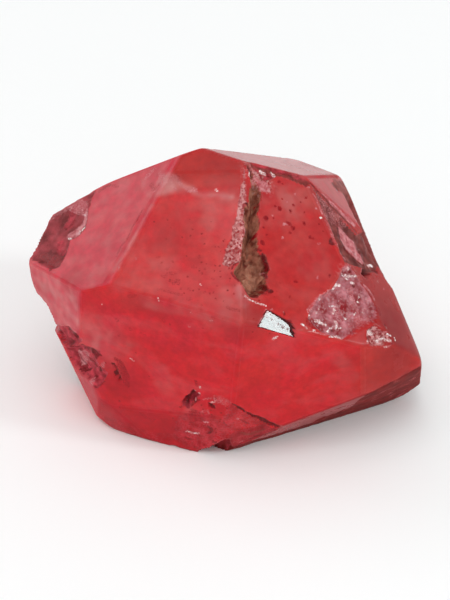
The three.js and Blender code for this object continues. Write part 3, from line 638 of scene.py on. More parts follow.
        (0.9, 0.18, [(5.8, -4.3), (6.3, -4.1), (6.7, -4.1), (7, -4.3)]),
        (0.7, 0.12, [(8.4, -3.4), (8.7, -3.8), (9.5, -4.1)]),
        (0.6, 0.1, [(7.8, -3), (8.1, -3.5), (8.4, -4.1)]),
        (0.7, 0.1, [(3.4, -4.4), (3.6, -4.7)]),
        (0.5, 0.08, [(4.3, -5.8), (4.8, -6), (5.2, -6.3)]),
        (1, 0.12, [(4.7, -6.4), (4.4, -6.8)]),
        (1, 0.16, [(1.8, -6.6), (2.2, -6.9)]),
        (1, 0.16, [(2.2, -7.1), (2.7, -7.5)]),
        (1, 0.15, [(4.1, -7.7), (3.7, -8.4)]),
        (0.6, 0.12, [(3, -8.1), (3.5, -8.2)]),
        (0.7, 0.09, [(2.1, -8.7), (2.7, -9), (3.4, -9.5)]),
        (0.7, 0.1, [(9.4, -11.5), (9.8, -12)]),
        (0.8, 0.14, [(8.3, -12), (9, -12.1), (9.3, -12.4)]),
        (0.8, 0.1, [(8.3, -12.7), (9, -13)])],
    # Mirror step: its pale upper rim.
    ("mirror_floor", "blush_and_highlight"): [
        (0.9, 0.07, [(-4.3, -2.9), (-3.5, -2.4), (-2.7, -2), (-1.9, -2)])],
    # Front wall: deep red flecks, the dark slit and pits, darkened partly as painted shade, faint clouds.
    ("front_wall", "milk"): [
        (0.12, 1, [(-4.5, 6.3), (-0.9, 6.5), (2.7, 6.7), (5.8, 7)]),
        (0.08, 1.2, [(-10.1, 1), (-8.5, -0.3), (-6.1, -1), (-3.5, -3.1), (-2.8, -5.4)]),
        (0.2, 0.4, [(0.1, -7.4), (-0.4, -8.9)])],
    ("front_wall", "dusk_and_shade"): [
        (0.1, 0, [(-8.1, -1.3), (-6.1, -2.1), (-4.8, -3.5), (-5, -6.4), (-7.3, -8.4), (-10.4, -8.2),
            (-11.1, -6.1), (-10.1, -3)])],
    ("front_wall", "blood"): [
        (0.45, 0, [(-8.8, -2.7), (-8.3, -2.7), (-7.9, -3.2), (-7.6, -3.8), (-8, -4.1), (-8.5, -4),
            (-8.9, -3.6)]),
        (0.4, 0.25, [(-7.5, -4.6), (-7.4, -5)]),
        (0.35, 0.2, [(-7.1, 6.4), (-6.2, 6.7)]),
        (0.4, 0.25, [(4.9, 8), (5.5, 7.9), (6.2, 8)]),
        (0.35, 0.25, [(-6, -9.9), (-5.5, -10.4), (-4.7, -10.6)]),
        (0.55, 0.25, [(-8.9, -2.8), (-8.4, -3.2), (-7.8, -4), (-7.4, -4.9)]),
        (0.4, 0.5, [(-8.4, -3.9), (-7.8, -4.9), (-7.6, -5.9)])],
    ("front_wall", "stain_and_shade"): [
        (0.8, 0, [(-0.6, -7.2), (-0.7, -6.6), (-0.3, -5.7), (0.2, -5), (0.5, -4.6), (0.9, -4.5),
            (0.7, -5.2), (0.2, -5.9), (0, -6.6), (-0.1, -7.2)]),
        (0.8, 0, [(0.3, -7), (0.4, -6.4), (0.8, -5.8), (1, -6.1), (0.6, -6.7)]),
        (1, 0.17, [(-9.4, -3.5), (-9.1, -4.1), (-8.8, -4.7), (-8.4, -5.4)]),
        (0.9, 0.12, [(-9, -3.8), (-8.7, -4.4)])],
    ("front_wall", "painted_glint"): [
        (0.5, 0.08, [(-7, -2.3), (-6.7, -2.4)])],
    # Right wall: a faint deep cloud, and what crumbled beside the crack.
    ("right_wall", "milk"): [
        (0.1, 0.8, [(9.4, 1.4), (11.2, -0.7), (12.1, -2.8)])],
    ("right_wall", "dusk_and_shade"): [
        (0.16, 0, [(2.4, 1.6), (4.3, 0.9), (6, -0.9), (5.7, -3.8), (3.4, -4.3), (2.2, -2.4)])],
    ("right_wall", "rust"): [
        (0.4, 0.25, [(3.6, -8.4), (4.3, -8.8)])],
    ("right_wall", "blush_and_highlight"): [
        (0.7, 0.1, [(4.4, -9.3), (4.8, -9.5)])],
    ("right_wall", "painted_glint"): [
        (0.8, 0.13, [(2.8, 4.3), (3.3, 4.6)])],
    # Root, in front: crumbled quartz between the pits, the shelf and the notch.
    ("front_root", "pepper"): [
        (0.5, 0, [(-1.2, -5.6), (5.2, -4.3), (5.5, -7.3), (2.7, -10.4), (-0.6, -12), (-2.7, -10.1)])],
    ("front_root", "chip"): [
        (0.35, 0, [(-1.6, -7.9), (0.2, -6.1), (1.7, -6.3), (3, -6.5), (4.8, -8.2), (4.2, -10.4),
            (1.5, -11.9), (-1.1, -12.2), (-2.5, -11)])],
    ("front_root", "blush_and_highlight"): [
        (0.3, 0, [(2.9, -3.6), (4, -3.3), (5.1, -3.9), (4.3, -4.6), (3.1, -4.5)]),
        (0.7, 0.1, [(1.5, -7.6), (2.1, -7.5)]),
        (0.4, 0.12, [(2.1, -5.9), (2.3, -6.1)]),
        (0.35, 0.14, [(1.7, -4.4), (2.5, -4), (3.4, -4.2)]),
        (0.35, 0.12, [(1.2, -6.3), (2.2, -5.8)])],
    ("front_root", "blood"): [
        (0.4, 0, [(-0.3, -6.6), (1.2, -6.1), (1.4, -7.3), (-0.1, -8.3)]),
        (0.7, 0.2, [(-0.8, -10.8), (-0.3, -10.9)]),
        (0.6, 0.16, [(2.4, -8.4), (2.3, -8.9), (2, -9.2)]),
        (0.5, 0.2, [(0.8, -2.1), (0.9, -2.6)]),
        (0.4, 0.2, [(0.8, -10.9), (0.9, -11.6)]),
        (0.6, 0.15, [(2.6, -10.4), (3, -10.5)])],
    ("front_root", "stain_and_shade"): [
        (0.7, 0.13, [(0.9, -4.7), (1.2, -4.6)]),
        (0.8, 0.12, [(2.3, -4.9), (2.6, -5.1)]),
        (0.8, 0.12, [(2.9, -5.1), (3, -5.3)]),
        (0.7, 0.15, [(2.1, -8.1), (2.6, -8.5), (2.1, -9.3)]),
        (0.6, 0.13, [(-0.7, -10.8), (0, -10.9)]),
        (0.5, 0.12, [(4.1, -7.1), (4.3, -8)])],
    ("front_root", "painted_glint"): [
        (0.3, 0.1, [(2.5, -4.7), (3.1, -4.4)]),
        (0.6, 0.11, [(-0.6, -9.8), (-0.1, -9.8), (0.4, -9.8), (0.9, -9.6)])],
    # Front undercut and the shelf: broken ground, and the lines and rust on it.
    ("front_under", "chip"): [
        (0.25, 0, [(-10.4, -8.7), (-7.2, -9.4), (-4, -9.8), (-1.1, -9.7), (-2.9, -11.1), (-6.2, -11.5),
            (-9.7, -10.9), (-10.9, -9.9)])],
    ("shelf_floor", "rust"): [
        (0.6, 0.25, [(0.1, -7.8), (0.9, -8.2), (1.7, -8), (2.7, -7.6)])],
    ("shelf_floor", "blush_and_highlight"): [
        (0.6, 0.08, [(-0.5, -9.4), (0.1, -9.5), (0.5, -9.3)])],
    ("shelf_floor", "stain_and_shade"): [
        (0.6, 0.2, [(1.1, -9.1), (1.8, -8.8), (2.8, -8.7), (3.9, -8.5)]),
        (0.5, 0.13, [(-0.1, -5.5), (0.9, -6.4)])],
    # Rear: veins that run on from the seam, and clouds.
    ("rear_face", "blood"): [
        (0.7, 0.25, [(5.6, -2), (7, -3.4), (7.6, -5.2)])],
    ("rear_left_face", "milk"): [
        (0.5, 0.9, [(-4, 4), (-1.2, 1.4), (2.6, 0.4), (4.8, -2.6)])],
    # Rear wall: the crystals round its pocket, rust, veins.
    ("rear_wall", "rust"): [
        (0.8, 0.35, [(-8.4, 3.4), (-6.6, 3.2), (-5, 1.4)]),
        (0.7, 0.18, [(-1, -1.8), (-0.6, -3.6), (0.8, -5.4)])],
    ("rear_wall", "grain"): [
        (1, 0, [(-8.6, 5.2), (-4, 5.8), (-0.4, 5.2), (2, 3.6), (3.4, 1), (3, -0.8), (0.8, 0.4), (-0.4, 3),
            (-2.6, 4.6), (-6, 4.4)])],
    ("rear_wall", "blush_and_highlight"): [
        (0.6, 0.3, [(-9.5, 7.5), (-8.2, 5.8), (-6.9, 4.4)]),
        (0.6, 0.22, [(2.2, 0.2), (4.4, -1.8), (6.2, -2.4), (8.8, -4.6)])],
    # Rear left and right: veins that run on from the skin patch and the chip.
    ("rear_left_wall", "blush_and_highlight"): [
        (0.5, 0.14, [(-4.6, 1.2), (-3.2, 0.4), (-2.2, -2.2), (-0.8, -3.4), (-0.4, -5.2)])],
    ("rear_right_wall", "milk"): [
        (0.5, 0.8, [(-5, 1.6), (-3, 0.4), (-1, -1.4), (1.4, -1)])],
    ("rear_right_wall", "blush_and_highlight"): [
        (0.6, 0.25, [(-2.4, -1), (-1.2, -2.8), (0.6, -4.2)])],
}
for (facet, name), rows in marks.items():
    place = [spot + LINE_STRAY * stray for spot, stray in zip(spots_on(facet), wander)]
    for share, half_width, points in rows:
        if half_width:
            beyond = beside_spine(*place, [(a, u, half_width) for a, u in points])[0] - half_width
        else:
            beyond = beyond_outline(*place, points)
        lay(name, share, -beyond)

# Round marks, likewise by facet and finish: share and [across, up, radius].
dots = {
    ("left_face", "blood"): [(0.8, [(-8.6, -10.9, 0.18)])],
    ("left_wall", "blood"): [(0.5, [(-14.7, 1.1, 0.19)])],
    ("tip_front", "blood"): [(0.3, [(-1.7, 11.8, 0.25)])],
    ("tip_front", "painted_glint"): [(0.4, [(-1.1, 8.8, 0.12)])],
    ("middle_face", "blush_and_highlight"): [(0.6, [(-9.9, -1.6, 0.16), (-8.2, -0.5, 0.14)])],
    ("middle_face", "blood"): [
        (0.28, [(-4.5, -1.9, 0.21), (-3.3, -2.4, 0.23), (-1.7, -0.4, 0.21), (-3.9, 1.2, 0.18),
            (-5.2, -0.4, 0.18), (-4.2, -0.1, 0.17), (-3.1, 2, 0.16), (-0.2, -0.3, 0.16), (0.3, -3.2, 0.18),
            (-2.4, -3.1, 0.17), (-1.4, -3, 0.16), (-4.4, -1, 0.15), (-1.2, 0.9, 0.17), (-1.8, 2.2, 0.14),
            (-5.8, 0.2, 0.14), (-1.2, -4.1, 0.21), (1, -1.5, 0.13)])],
    ("middle_face", "stain_and_shade"): [(1, [(2.7, 8.3, 0.22)])],
    ("middle_face", "painted_glint"): [(0.3, [(-4.6, -4.7, 0.12), (-0.3, -2.2, 0.12)])],
    ("seam_face", "blush_and_highlight"): [
        (0.7, [(3.8, 5.2, 0.13), (4.7, 3.6, 0.14), (3.4, 2.4, 0.15), (7.7, 6.6, 0.14), (6.2, 6, 0.16),
            (7.4, 0.2, 0.14), (9.8, 6.8, 0.21), (9.9, 5.4, 0.16), (9.3, 4, 0.13), (5.1, -3.2, 0.16)])],
    ("seam_face", "blood"): [
        (1, [(6.5, 8.4, 0.23), (4.9, 5.5, 0.34), (2.8, 5, 0.27), (3.7, 4.8, 0.18), (5.4, 9.6, 0.23),
            (1, 2.8, 0.3), (0.8, 3.9, 0.25), (2.9, 7.4, 0.17), (1.9, 3.4, 0.15), (1.8, 4.3, 0.15),
            (4.6, 6.1, 0.14)]),
        (0.75, [(5.1, 3.6, 0.27), (5.3, 3, 0.3), (4.7, 2.6, 0.18), (6.9, 2.9, 0.19), (6.7, 1.3, 0.23),
            (7, 1, 0.18), (8.7, 5.7, 0.18), (6.1, 4.9, 0.18), (6.7, 5.2, 0.15)]),
        (0.8, [(2.4, -2.7, 0.21), (0.9, -4, 0.15), (6.7, -3.7, 0.18)])],
    ("seam_face", "stain_and_shade"): [
        (1, [(9.1, 0.1, 0.23), (9, -0.3, 0.3)]),
        (0.9, [(5.4, 9.6, 0.18)])],
    ("seam_face", "painted_glint"): [
        (0.9, [(9.3, 2.8, 0.16)]),
        (0.5, [(9.9, 6.9, 0.14)])],
    ("right_face", "blush_and_highlight"): [(0.7, [(3.2, -9.5, 0.23)])],
    ("right_face", "stain_and_shade"): [(1, [(4.4, -7.6, 0.33)])],
    ("right_face", "painted_glint"): [
        (0.6, [(3.2, -8.3, 0.16)]),
        (0.5, [(5.5, -4.8, 0.13)])],
    ("cloud_face", "blood"): [
        (0.45, [(7.2, -7.4, 0.52), (10.4, -6.9, 0.46), (10.2, -8.8, 0.52), (5.9, -5.8, 0.46),
            (3.9, -6.6, 0.29)])],
    ("cloud_face", "stain_and_shade"): [
        (0.9, [(8.8, -3.1, 0.21), (8.5, -4.9, 0.18)]),
        (0.6, [(2.2, -7.3, 0.18), (2.9, -7.2, 0.16), (3.1, -8.5, 0.15), (9.3, -12.8, 0.21),
            (9, -11.9, 0.14)])],
    ("cloud_face", "painted_glint"): [
        (1, [(8.6, -2.7, 0.19), (8.6, -4.6, 0.17), (7.8, -10.8, 0.37), (8.1, -12, 0.18),
            (10.5, -12.7, 0.16)]),
        (0.6, [(2.3, -5.9, 0.16), (8.2, -7, 0.17), (7.1, -8, 0.16), (8.2, -8.4, 0.14), (8.6, -6.5, 0.13),
            (5.6, -7.9, 0.14), (2.9, -5.7, 0.13), (1.2, -5.7, 0.14), (10, -10.9, 0.15),
            (6.5, -11.1, 0.17)]),
        (0.7, [(-0.2, -6.2, 0.18), (0, -6.7, 0.15), (0.7, -7.4, 0.18), (2.6, -8.3, 0.19),
            (4, -8.5, 0.16)])],
    ("mirror_floor", "stain_and_shade"): [
        (0.65, [(-2.9, -2.5, 0.16), (-2.2, -2.5, 0.11), (-2.4, -2.9, 0.11), (-1.6, -3.2, 0.16),
            (-0.7, -3.8, 0.21), (-0.7, -4.3, 0.14), (-1.8, -3.8, 0.14), (-1.6, -4.1, 0.14),
            (-1.5, -4.4, 0.16), (-1.1, -4.8, 0.17), (-0.9, -3.1, 0.14)])],
    ("front_wall", "blood"): [
        (0.3, [(-8.5, 2.7, 0.25), (-9, 3.1, 0.18), (-6.9, 1.9, 0.23), (-8.4, 0.8, 0.23), (-5.8, 1.7, 0.18),
            (-5.3, 1.6, 0.18), (-2.8, 4.1, 0.23), (3, 6.2, 0.23)])],
    ("front_wall", "painted_glint"): [
        (0.12, [(0.7, 6.2, 0.12), (0.1, 4.3, 0.14), (2.8, 5.7, 0.15), (-10.2, 4.5, 0.13)])],
    ("right_wall", "painted_glint"): [(0.5, [(8.3, -8, 0.16), (4.1, -8.7, 0.13)])],
    ("front_root", "painted_glint"): [
        (1, [(1.1, -3.6, 0.14)]),
        (0.8, [(0.5, -3.4, 0.09), (0.4, -4.2, 0.09), (1, -4, 0.09), (0.6, -4.8, 0.09), (1.4, -2.8, 0.09)])],
    ("shelf_floor", "blush_and_highlight"): [(0.9, [(-0.4, -5.2, 0.18)])],
    ("shelf_floor", "blood"): [(0.6, [(-2.8, -9.1, 0.21), (-3.4, -6.7, 0.21)])],
}
for (facet, name), rows in dots.items():
    across, up = [spot + DOT_STRAY * stray for spot, stray in zip(spots_on(facet), wander)]
    for share, rounds in rows:
        for a, u, size in rounds:
            lay(name, share, size - np.hypot(across - a, up - u))

# Clouds of colour in the stone: centre [x, y, z], reach, then lean, milk, dark and pepper as above.
# The dark of those from x = 11 mm out on the right, and of the one low on the left, is painted shade
# where the stone turns down and away from the lamps.
zones = [
    (-9.5, -8.6, 22.7, 3.5, 0.35, 0.12, 0, 0), (-5.6, -5.2, 25.8, 3, 0, 0, 0.2, 0.2),
    (1.2, -12.1, 22.5, 3.5, 0.3, 0.25, 0, 0.2), (-2.5, -9.5, 23.5, 4, 0, 0, 0, 0.55),
    (-5.4, -12.5, 20.1, 4, -0.2, 0, 0.1, 0), (-15.1, -8.5, 13.1, 3, -0.3, 0.3, 0, 0),
    (-13.5, -9.1, 6.5, 5, -0.2, 0, 0.15, 0), (-0.4, -4, 27.7, 3.5, 0, 0.2, 0, 0),
    (6.9, -1, 27.4, 3, 0.2, 0.3, 0, 0), (9.1, -6.9, 22.3, 3, 0, 0.15, 0, 0),
    (18.2, -7.3, 15.1, 4, 0.2, 0, 0.6, 0), (19.3, -9.9, 12.7, 3.5, 0.2, 0, 0.3, 0),
    (17.7, -10.6, 9, 4, 0.2, 0, 0.3, 0), (11.6, -9.7, 3.8, 4, 0.2, 0, 0.3, 0),
    (-2.1, -13.3, 4, 4, 0, 0, 0.15, 0.4), (0.3, -14.3, 20.7, 2.5, 0, 0, 0.2, 0),
    (20.5, -9, 7.3, 3, 0.2, 0, 0.25, 0),
]
surface = directions * radius[:, None]
for x, y, z, reach, lean, milky, dark, peppered in zones:
    near = np.exp(-((surface + HEART - (x, y, z)) ** 2).sum(axis=1) / reach**2)
    tone += lean * near
    for name, amount in zip(soft, (milky, dark, peppered)):
        finish[name] += amount * near * (1 - finish[name])

# The sugary patch by the flank fades out at its lower right, over 2 mm.
FROST_END = 15.6, -10.6, 15.8
finish["frost"] *= 1 - 0.4 * np.exp(-((surface + HEART - FROST_END) ** 2).sum(axis=1) / 2**2)

# -- Its small relief, and its mesh ---------------------------------------------------------

# The small relief of what isn't polished, by its height and size in mm: swells at two sizes, which lie
# below the facet under the dark stain and painted shade, and grains where it is sugary. The mirror
# step has none.
rough = {
    "husk_and_shade": (0.05, 0.9), "skin": (0.07, 0.9), "chip": (0.1, 0.8), "frost": (0.05, 0.7),
    "matrix": (0.16, 0.8), "crust": (0.1, 0.8), "stain_and_shade": (0.05, 0.6)}
grainy = {"grain": (0.18, 0.5), "matrix": (0.2, 0.9), "frost": (0.05, 0.45)}
unpolished = finish["mirror"] < 0.1
for name, (height, size) in rough.items():
    bumps = swell(surface, size, 8) + 0.6 * swell(surface, size / 2, 9) + (name == "stain_and_shade")
    radius -= ease(finish[name], *BORDER) * height * bumps * unpolished
for name, (height, size) in grainy.items():
    radius += ease(finish[name], *BORDER) * height * (pebbles(surface, size, 4) - 0.6) * unpolished
NICK_DEPTH = 0.12  # mm, here and there along a worn edge
radius -= NICK_DEPTH * on_edge * ease(swell(surface, 1.2, 14) + 0.5 * swell(surface, 0.5, 15), 0.5, 0.9)
radius = np.minimum(radius, HEART[2] / np.maximum(-directions[:, 2], 0.01))  # it rests on the floor

quartz_mesh = bpy.data.meshes.new("quartz_stone")
quartz_mesh.from_pydata(((HEART + directions * radius[:, None]) * MM).tolist(), [], squares.tolist())
quartz_mesh.shade_smooth()
for name, share in [*finish.items(), ("tone", tone), ("edge", on_edge)]:
    quartz_mesh.attributes.new(name, "FLOAT", "POINT").data.foreach_set("value", share.astype(np.float32))
quartz_stone = bpy.data.objects.new("quartz_stone", quartz_mesh)
bpy.context.collection.objects.link(quartz_stone)


# -- What it is made of ---------------------------------------------------------------------

def linear(code):
    """Linear colour from an sRGB hex code: c / 12.92 up to 0.04045, ((c + 0.055) / 1.055)^2.4 above."""
    channels = [int(code[i:i + 2], 16) / 255 for i in (1, 3, 5)]
    return (*(c / 12.92 if c <= 0.04045 else ((c + 0.055) / 1.055) ** 2.4 for c in channels), 1)


# Hematoid quartz, polished: glassy over a cloudy body that light enters and leaves a millimetre or two
# away. Red iron oxide colours it from raspberry to brick, in clouds a few millimetres across.
quartz = bpy.data.materials.new("hematoid_quartz_polished")
quartz.use_nodes = True
tree = quartz.node_tree
tree.nodes.clear()


def add(kind, sockets, out=0, **settings):
    """Adds a shader node and gives one of its outputs. A socket takes a number, a colour or an output.
    In a Mix node 0 is the share, 2 and 3 are the numbers that it mixes, and 6 and 7 the colours."""
    made = tree.nodes.new("ShaderNode" + kind)
    for name, value in settings.items():
        setattr(made, name, value)
    for name, value in sockets.items():
        if isinstance(value, bpy.types.NodeSocket):
            tree.links.new(value, made.inputs[name])
        else:
            made.inputs[name].default_value = value
    return made.outputs[out]


place = add("TexCoord", {}, "Object")
carried = {name: add("Attribute", {}, "Fac", attribute_name=name)
           for name in (*finish, "tone", "edge")}  # what the mesh carries at each point

# The body runs from raspberry through red to brick, by the facet's lean and by clouds 4 mm across.
clouds = add("TexNoise", {"Vector": place, "Scale": 1 / (4 * MM), "Detail": 5, "Roughness": 0.55})
lean = add("Math", {0: clouds, 1: 1.6, 2: -0.8}, operation="MULTIPLY_ADD")
lean = add("Math", {0: lean, 1: carried["tone"]}, operation="ADD")
lean = add("MapRange", {"Value": lean, "From Min": -1, "From Max": 1})
body = tree.nodes.new("ShaderNodeValToRGB")
body.color_ramp.elements[0].color = linear("#cc2e42")
body.color_ramp.elements[1].color = linear("#c92c24")
body.color_ramp.elements.new(0.5).color = linear("#d2202a")
tree.links.new(lean, body.inputs[0])
colour = body.outputs[0]

# Within them it is mottled, a millimetre across.
mottle = add("TexNoise", {"Vector": place, "Scale": 1 / (0.9 * MM), "Detail": 6, "Roughness": 0.65})
shade = add("MapRange", {
    "Value": mottle, "From Min": 0.3, "From Max": 0.7, "To Min": 0.81, "To Max": 1.17})
colour = add("VectorMath", {0: colour, "Scale": shade}, operation="SCALE")

# Veils, 7 mm across and drawn out across the stone, leave some of it milkier and some of it deeper.
drawn = add("Mapping", {"Vector": place, "Rotation": (0.3, 0.5, 0.2), "Scale": (1, 1, 1.8)})
veils = add("TexNoise", {
    "Vector": drawn, "Scale": 1 / (7 * MM), "Detail": 6, "Roughness": 0.55, "Distortion": 0.5})
milky = add("MapRange", {"Value": veils, "From Min": 0.5, "From Max": 0.72, "To Max": 0.3})
colour = add("Mix", {0: milky, 6: colour, 7: linear("#d06a6c")}, 2, data_type="RGBA")
deeper = add("MapRange", {"Value": veils, "From Min": 0.48, "From Max": 0.3, "To Max": 0.5})
colour = add("Mix", {0: deeper, 6: colour, 7: linear("#a0141c")}, 2, data_type="RGBA")

# Cells 0.25 mm across, each with its own random colour: the crystals of the sugary places.
cells = add("TexVoronoi", {"Vector": place, "Scale": 1 / (0.25 * MM)}, "Color")
fine = add("TexNoise", {"Vector": place, "Scale": 1 / (0.15 * MM), "Detail": 3, "Roughness": 0.6})

# Each finish: pale and deep colour, size of its pattern (mm; 0 stands for the sugary crystals), how
# patchy it is, roughness, relief (mm). The glint colours are painted highlights; the blush is partly
# painted highlight, and the deep cloud, the rind and the dark stain are partly painted shade.
finishes = {
    "milk": ("#d39a97", "#c4686c", 2.0, 0.2, 0.1, 0),
    "dusk_and_shade": ("#8a161b", "#640b10", 2.0, 0.2, 0.4, 0),
    "pepper": ("#a01e1e", "#7a1214", 0.4, 0, 0.2, 0),
    "husk_and_shade": ("#7c1a18", "#5e1210", 1.6, 0, 0.8, 0.015),
    "skin": ("#ae424a", "#68181a", 2.2, 0, 0.5, 0.02),
    "chip": ("#cc4250", "#760e18", 0.9, 0, 0.5, 0.03),
    "rust": ("#98403a", "#702620", 0.6, 0, 0.45, 0.02),
    "frost": ("#c67a82", "#80242c", 1.4, 0.15, 0.35, 0.02),
    "grain": ("#d69290", "#8a2024", 0, 0.15, 0.3, 0.02),
    "matrix": ("#b0705a", "#5c2116", 0.9, 0, 0.8, 0.06),
    "tan": ("#bc8068", "#8a5040", 0.7, 0, 0.8, 0.05),
    "crust": ("#8e4440", "#5a201e", 1.2, 0, 0.5, 0.04),
    "mirror": ("#5a1418", "#3c0c10", 1.5, 0, 0.03, 0),
    "blush_and_highlight": ("#d0888c", "#b24c54", 0.6, 0.25, 0.3, 0),
    "blood": ("#9c161c", "#76101a", 0.4, 0, 0.1, 0),
    "stain_and_shade": ("#84141a", "#4c0709", 0.4, 0, 0.3, 0),
    "painted_glint": ("#fbf2f0", "#c07878", 0.3, 0.4, 0.15, 0),
}
rough_level = add("MapRange", {
    "Value": mottle, "From Min": 0.3, "From Max": 0.7, "To Min": 0.07, "To Max": 0.14})
relief = None
for name, (pale, deep, size, patchy, dull, height) in finishes.items():
    if size:
        detail = 1 if name in soft else 4
        pattern = add("TexNoise", {
            "Vector": place, "Scale": 1 / (size * MM), "Detail": detail, "Roughness": 0.6})
        contrast = add("MapRange", {"Value": pattern, "From Min": 0.35, "From Max": 0.65})
    else:
        pattern = add("Math", {0: mottle, 1: 1.2, 2: cells}, operation="MULTIPLY_ADD")
        contrast = add("MapRange", {"Value": pattern, "From Min": 0.8, "From Max": 1.5})
    tint = add("Mix", {0: contrast, 6: linear(deep), 7: linear(pale)}, 2, data_type="RGBA")
    share = carried[name]
    if name == "pepper":
        # Specks 0.5 mm apart at most: a cell has one if its random value is below the share.
        specks = add("TexVoronoi", {"Vector": place, "Scale": 1 / (0.5 * MM)}, slice(None))
        chosen = add("Math", {0: specks[1], 1: share}, operation="LESS_THAN")
        reach = add("Math", {0: fine, 1: 0.8, 2: specks[0]}, operation="MULTIPLY_ADD")
        share = add("MapRange", {"Value": reach, "From Min": 0.7, "From Max": 0.5})
        share = add("Math", {0: share, 1: chosen}, operation="MULTIPLY")
    elif name not in soft:
        # The fine noise, about 0.25 once halved, frays the border.
        share = add("Math", {0: fine, 1: 0.5, 2: share}, operation="MULTIPLY_ADD")
        share = add("MapRange", {"Value": share, "From Min": 0.6, "From Max": 0.9},
                    interpolation_type="SMOOTHSTEP")
    if patchy:
        full = add("Math", {0: contrast, 1: 2 * patchy, 2: 1 - patchy}, operation="MULTIPLY_ADD")
        share = add("Math", {0: share, 1: full}, operation="MULTIPLY", use_clamp=True)
    colour = add("Mix", {0: share, 6: colour, 7: tint}, 2, data_type="RGBA")
    rough_level = add("Mix", {0: share, 2: rough_level, 3: dull}, data_type="FLOAT")
    if height:
        raised = add("Math", {0: pattern, 1: height}, operation="MULTIPLY")
        raised = add("Math", {0: raised, 1: share}, operation="MULTIPLY")
        relief = raised if relief is None else add("Math", {0: relief, 1: raised}, operation="ADD")

# One crystal in six of the sugary places is painted pale: a painted sparkle.
sugary = add("Math", {0: carried["frost"], 1: carried["grain"]}, operation="ADD")
painted_sparkle = add("MapRange", {"Value": cells, "From Min": 0.66, "From Max": 0.78, "To Max": 0.35})
painted_sparkle = add("Math", {0: sugary, 1: painted_sparkle}, operation="MULTIPLY")
colour = add("Mix", {0: painted_sparkle, 6: colour, 7: linear("#e2b4b6")}, 2, data_type="RGBA")

# Polished edges are worn: a little paler and much duller.
worn = add("Math", {0: carried["edge"], 1: 0.03}, operation="MULTIPLY")
colour = add("Mix", {0: worn, 6: colour, 7: linear("#d08488")}, 2, data_type="RGBA")
rough_level = add("Mix", {0: carried["edge"], 2: rough_level, 3: 0.9}, data_type="FLOAT")

# Sugary places sparkle: each crystal has flat faces that look their own way.
turn = add("VectorMath", {0: cells, 1: (-0.5, -0.5, -0.5)}, operation="ADD")
sparkle = add("Math", {0: sugary, 1: 0.5}, operation="MULTIPLY")
turn = add("VectorMath", {0: turn, "Scale": sparkle}, operation="SCALE")
straight = add("NewGeometry", {}, "Normal")
turned = add("VectorMath", {0: straight, 1: turn}, operation="ADD")
turned = add("VectorMath", {0: turned}, operation="NORMALIZE")
raised = add("Bump", {"Height": relief, "Distance": MM, "Normal": turned})

# Quartz bends light by 1.544. Its hand polish is soft, so it glosses less than that alone would give.
# Red light goes about 1.2 mm through the stone, and green and blue a quarter as far.
shader = add("BsdfPrincipled", {
    "Base Color": colour, "Roughness": rough_level, "Normal": raised,
    "IOR": 1.544, "Specular IOR Level": 0.15,
    "Subsurface Weight": 0.35, "Subsurface Radius": (1.0, 0.25, 0.2), "Subsurface Scale": 1.2 * MM,
})
add("OutputMaterial", {"Surface": shader}, slice(None))
quartz_mesh.materials.append(quartz)

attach(quartz_stone, "root")
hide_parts("quartz_point")


# ---------------------------------------------------------------------------------------------
# The floor
# Matt white paper, laid flat. It reaches far enough out to fill every view.
# ---------------------------------------------------------------------------------------------

FLOOR_REACH = 3.0  # metres
turnings = np.linspace(0, 2 * math.pi, 65)[:-1]
rim = np.stack([FLOOR_REACH * np.cos(turnings), FLOOR_REACH * np.sin(turnings), 0 * turnings], axis=1)
floor_mesh = bpy.data.meshes.new("floor")
floor_mesh.from_pydata(rim.tolist(), [], [list(range(len(rim)))])
floor = bpy.data.objects.new("floor", floor_mesh)
bpy.context.collection.objects.link(floor)
paper = bpy.data.materials.new("white_paper")
paper.use_nodes = True
sheet = paper.node_tree.nodes["Principled BSDF"].inputs
sheet["Base Color"].default_value = linear("#fcfcfc")
sheet["Roughness"].default_value = 0.9
floor_mesh.materials.append(paper)


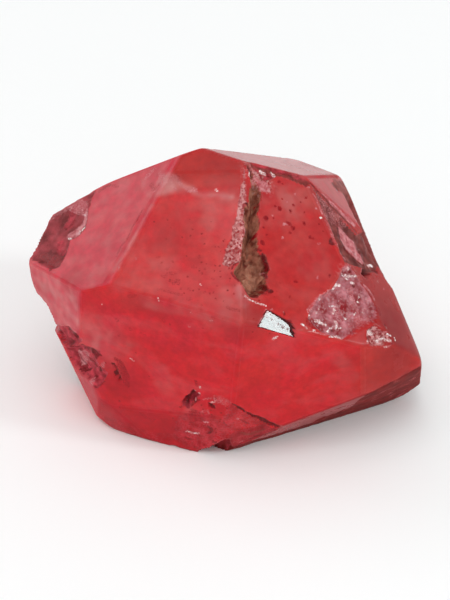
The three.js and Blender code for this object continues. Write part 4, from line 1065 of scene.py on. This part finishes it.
# ---------------------------------------------------------------------------------------------
# Light and camera
# A pale studio: an even surround, soft boxes overhead, in front and to the left, and one small lamp on
# the right whose reflection the broken step by the seam catches.
# ---------------------------------------------------------------------------------------------

studio = bpy.data.worlds.new("studio")
studio.use_nodes = True
surround = studio.node_tree.nodes["Background"].inputs
surround["Color"].default_value = (1, 1, 1, 1)
surround["Strength"].default_value = 0.6
bpy.context.scene.world = studio
bpy.context.scene.view_settings.view_transform = "Standard"

AIM = Vector((-0.4, -2.6, 14.5)) * MM  # the middle of the stone, as the camera sees it
WHITE, COOL = (1, 1, 1), (0.86, 1, 1)
lamps = {  # direction from the stone, distance (m), diameter (m), brightness of its face, colour
    "step_lamp": ((0.819, -0.268, 0.508), 0.6, 0.08, 54, COOL),
    "left_box": ((-0.746, 0.447, 0.493), 0.7, 0.4, 1.6, WHITE),
    "top_box": ((-0.1, -0.2, 1), 0.8, 0.7, 1.2, WHITE),
    "front_box": ((-0.15, -0.85, 0.75), 0.9, 0.6, 1.2, WHITE),
}
for name, (way, distance, size, brightness, tint) in lamps.items():
    lamp = bpy.data.lights.new(name, "AREA")
    lamp.shape = "DISK"
    lamp.size = size
    lamp.color = tint
    lamp.energy = brightness * math.pi * (math.pi * (size / 2) ** 2)  # watts: brightness, pi, area
    holder = bpy.data.objects.new(name, lamp)
    holder.location = AIM + Vector(way).normalized() * distance
    holder.rotation_euler = Vector(way).to_track_quat("Z", "Y").to_euler()
    bpy.context.collection.objects.link(holder)

CAMERA_TILT = math.radians(35)  # down onto the stone
CAMERA_DISTANCE = 0.3  # metres
camera = bpy.data.cameras.new("camera")
camera.lens = 157.14  # mm, on the usual 36 mm sensor along the frame's long side
watcher = bpy.data.objects.new("camera", camera)
back = Vector((0, -math.cos(CAMERA_TILT), math.sin(CAMERA_TILT)))
watcher.location = AIM + back * CAMERA_DISTANCE
watcher.rotation_euler = back.to_track_quat("Z", "Y").to_euler()
bpy.context.collection.objects.link(watcher)
bpy.context.scene.camera = watcher
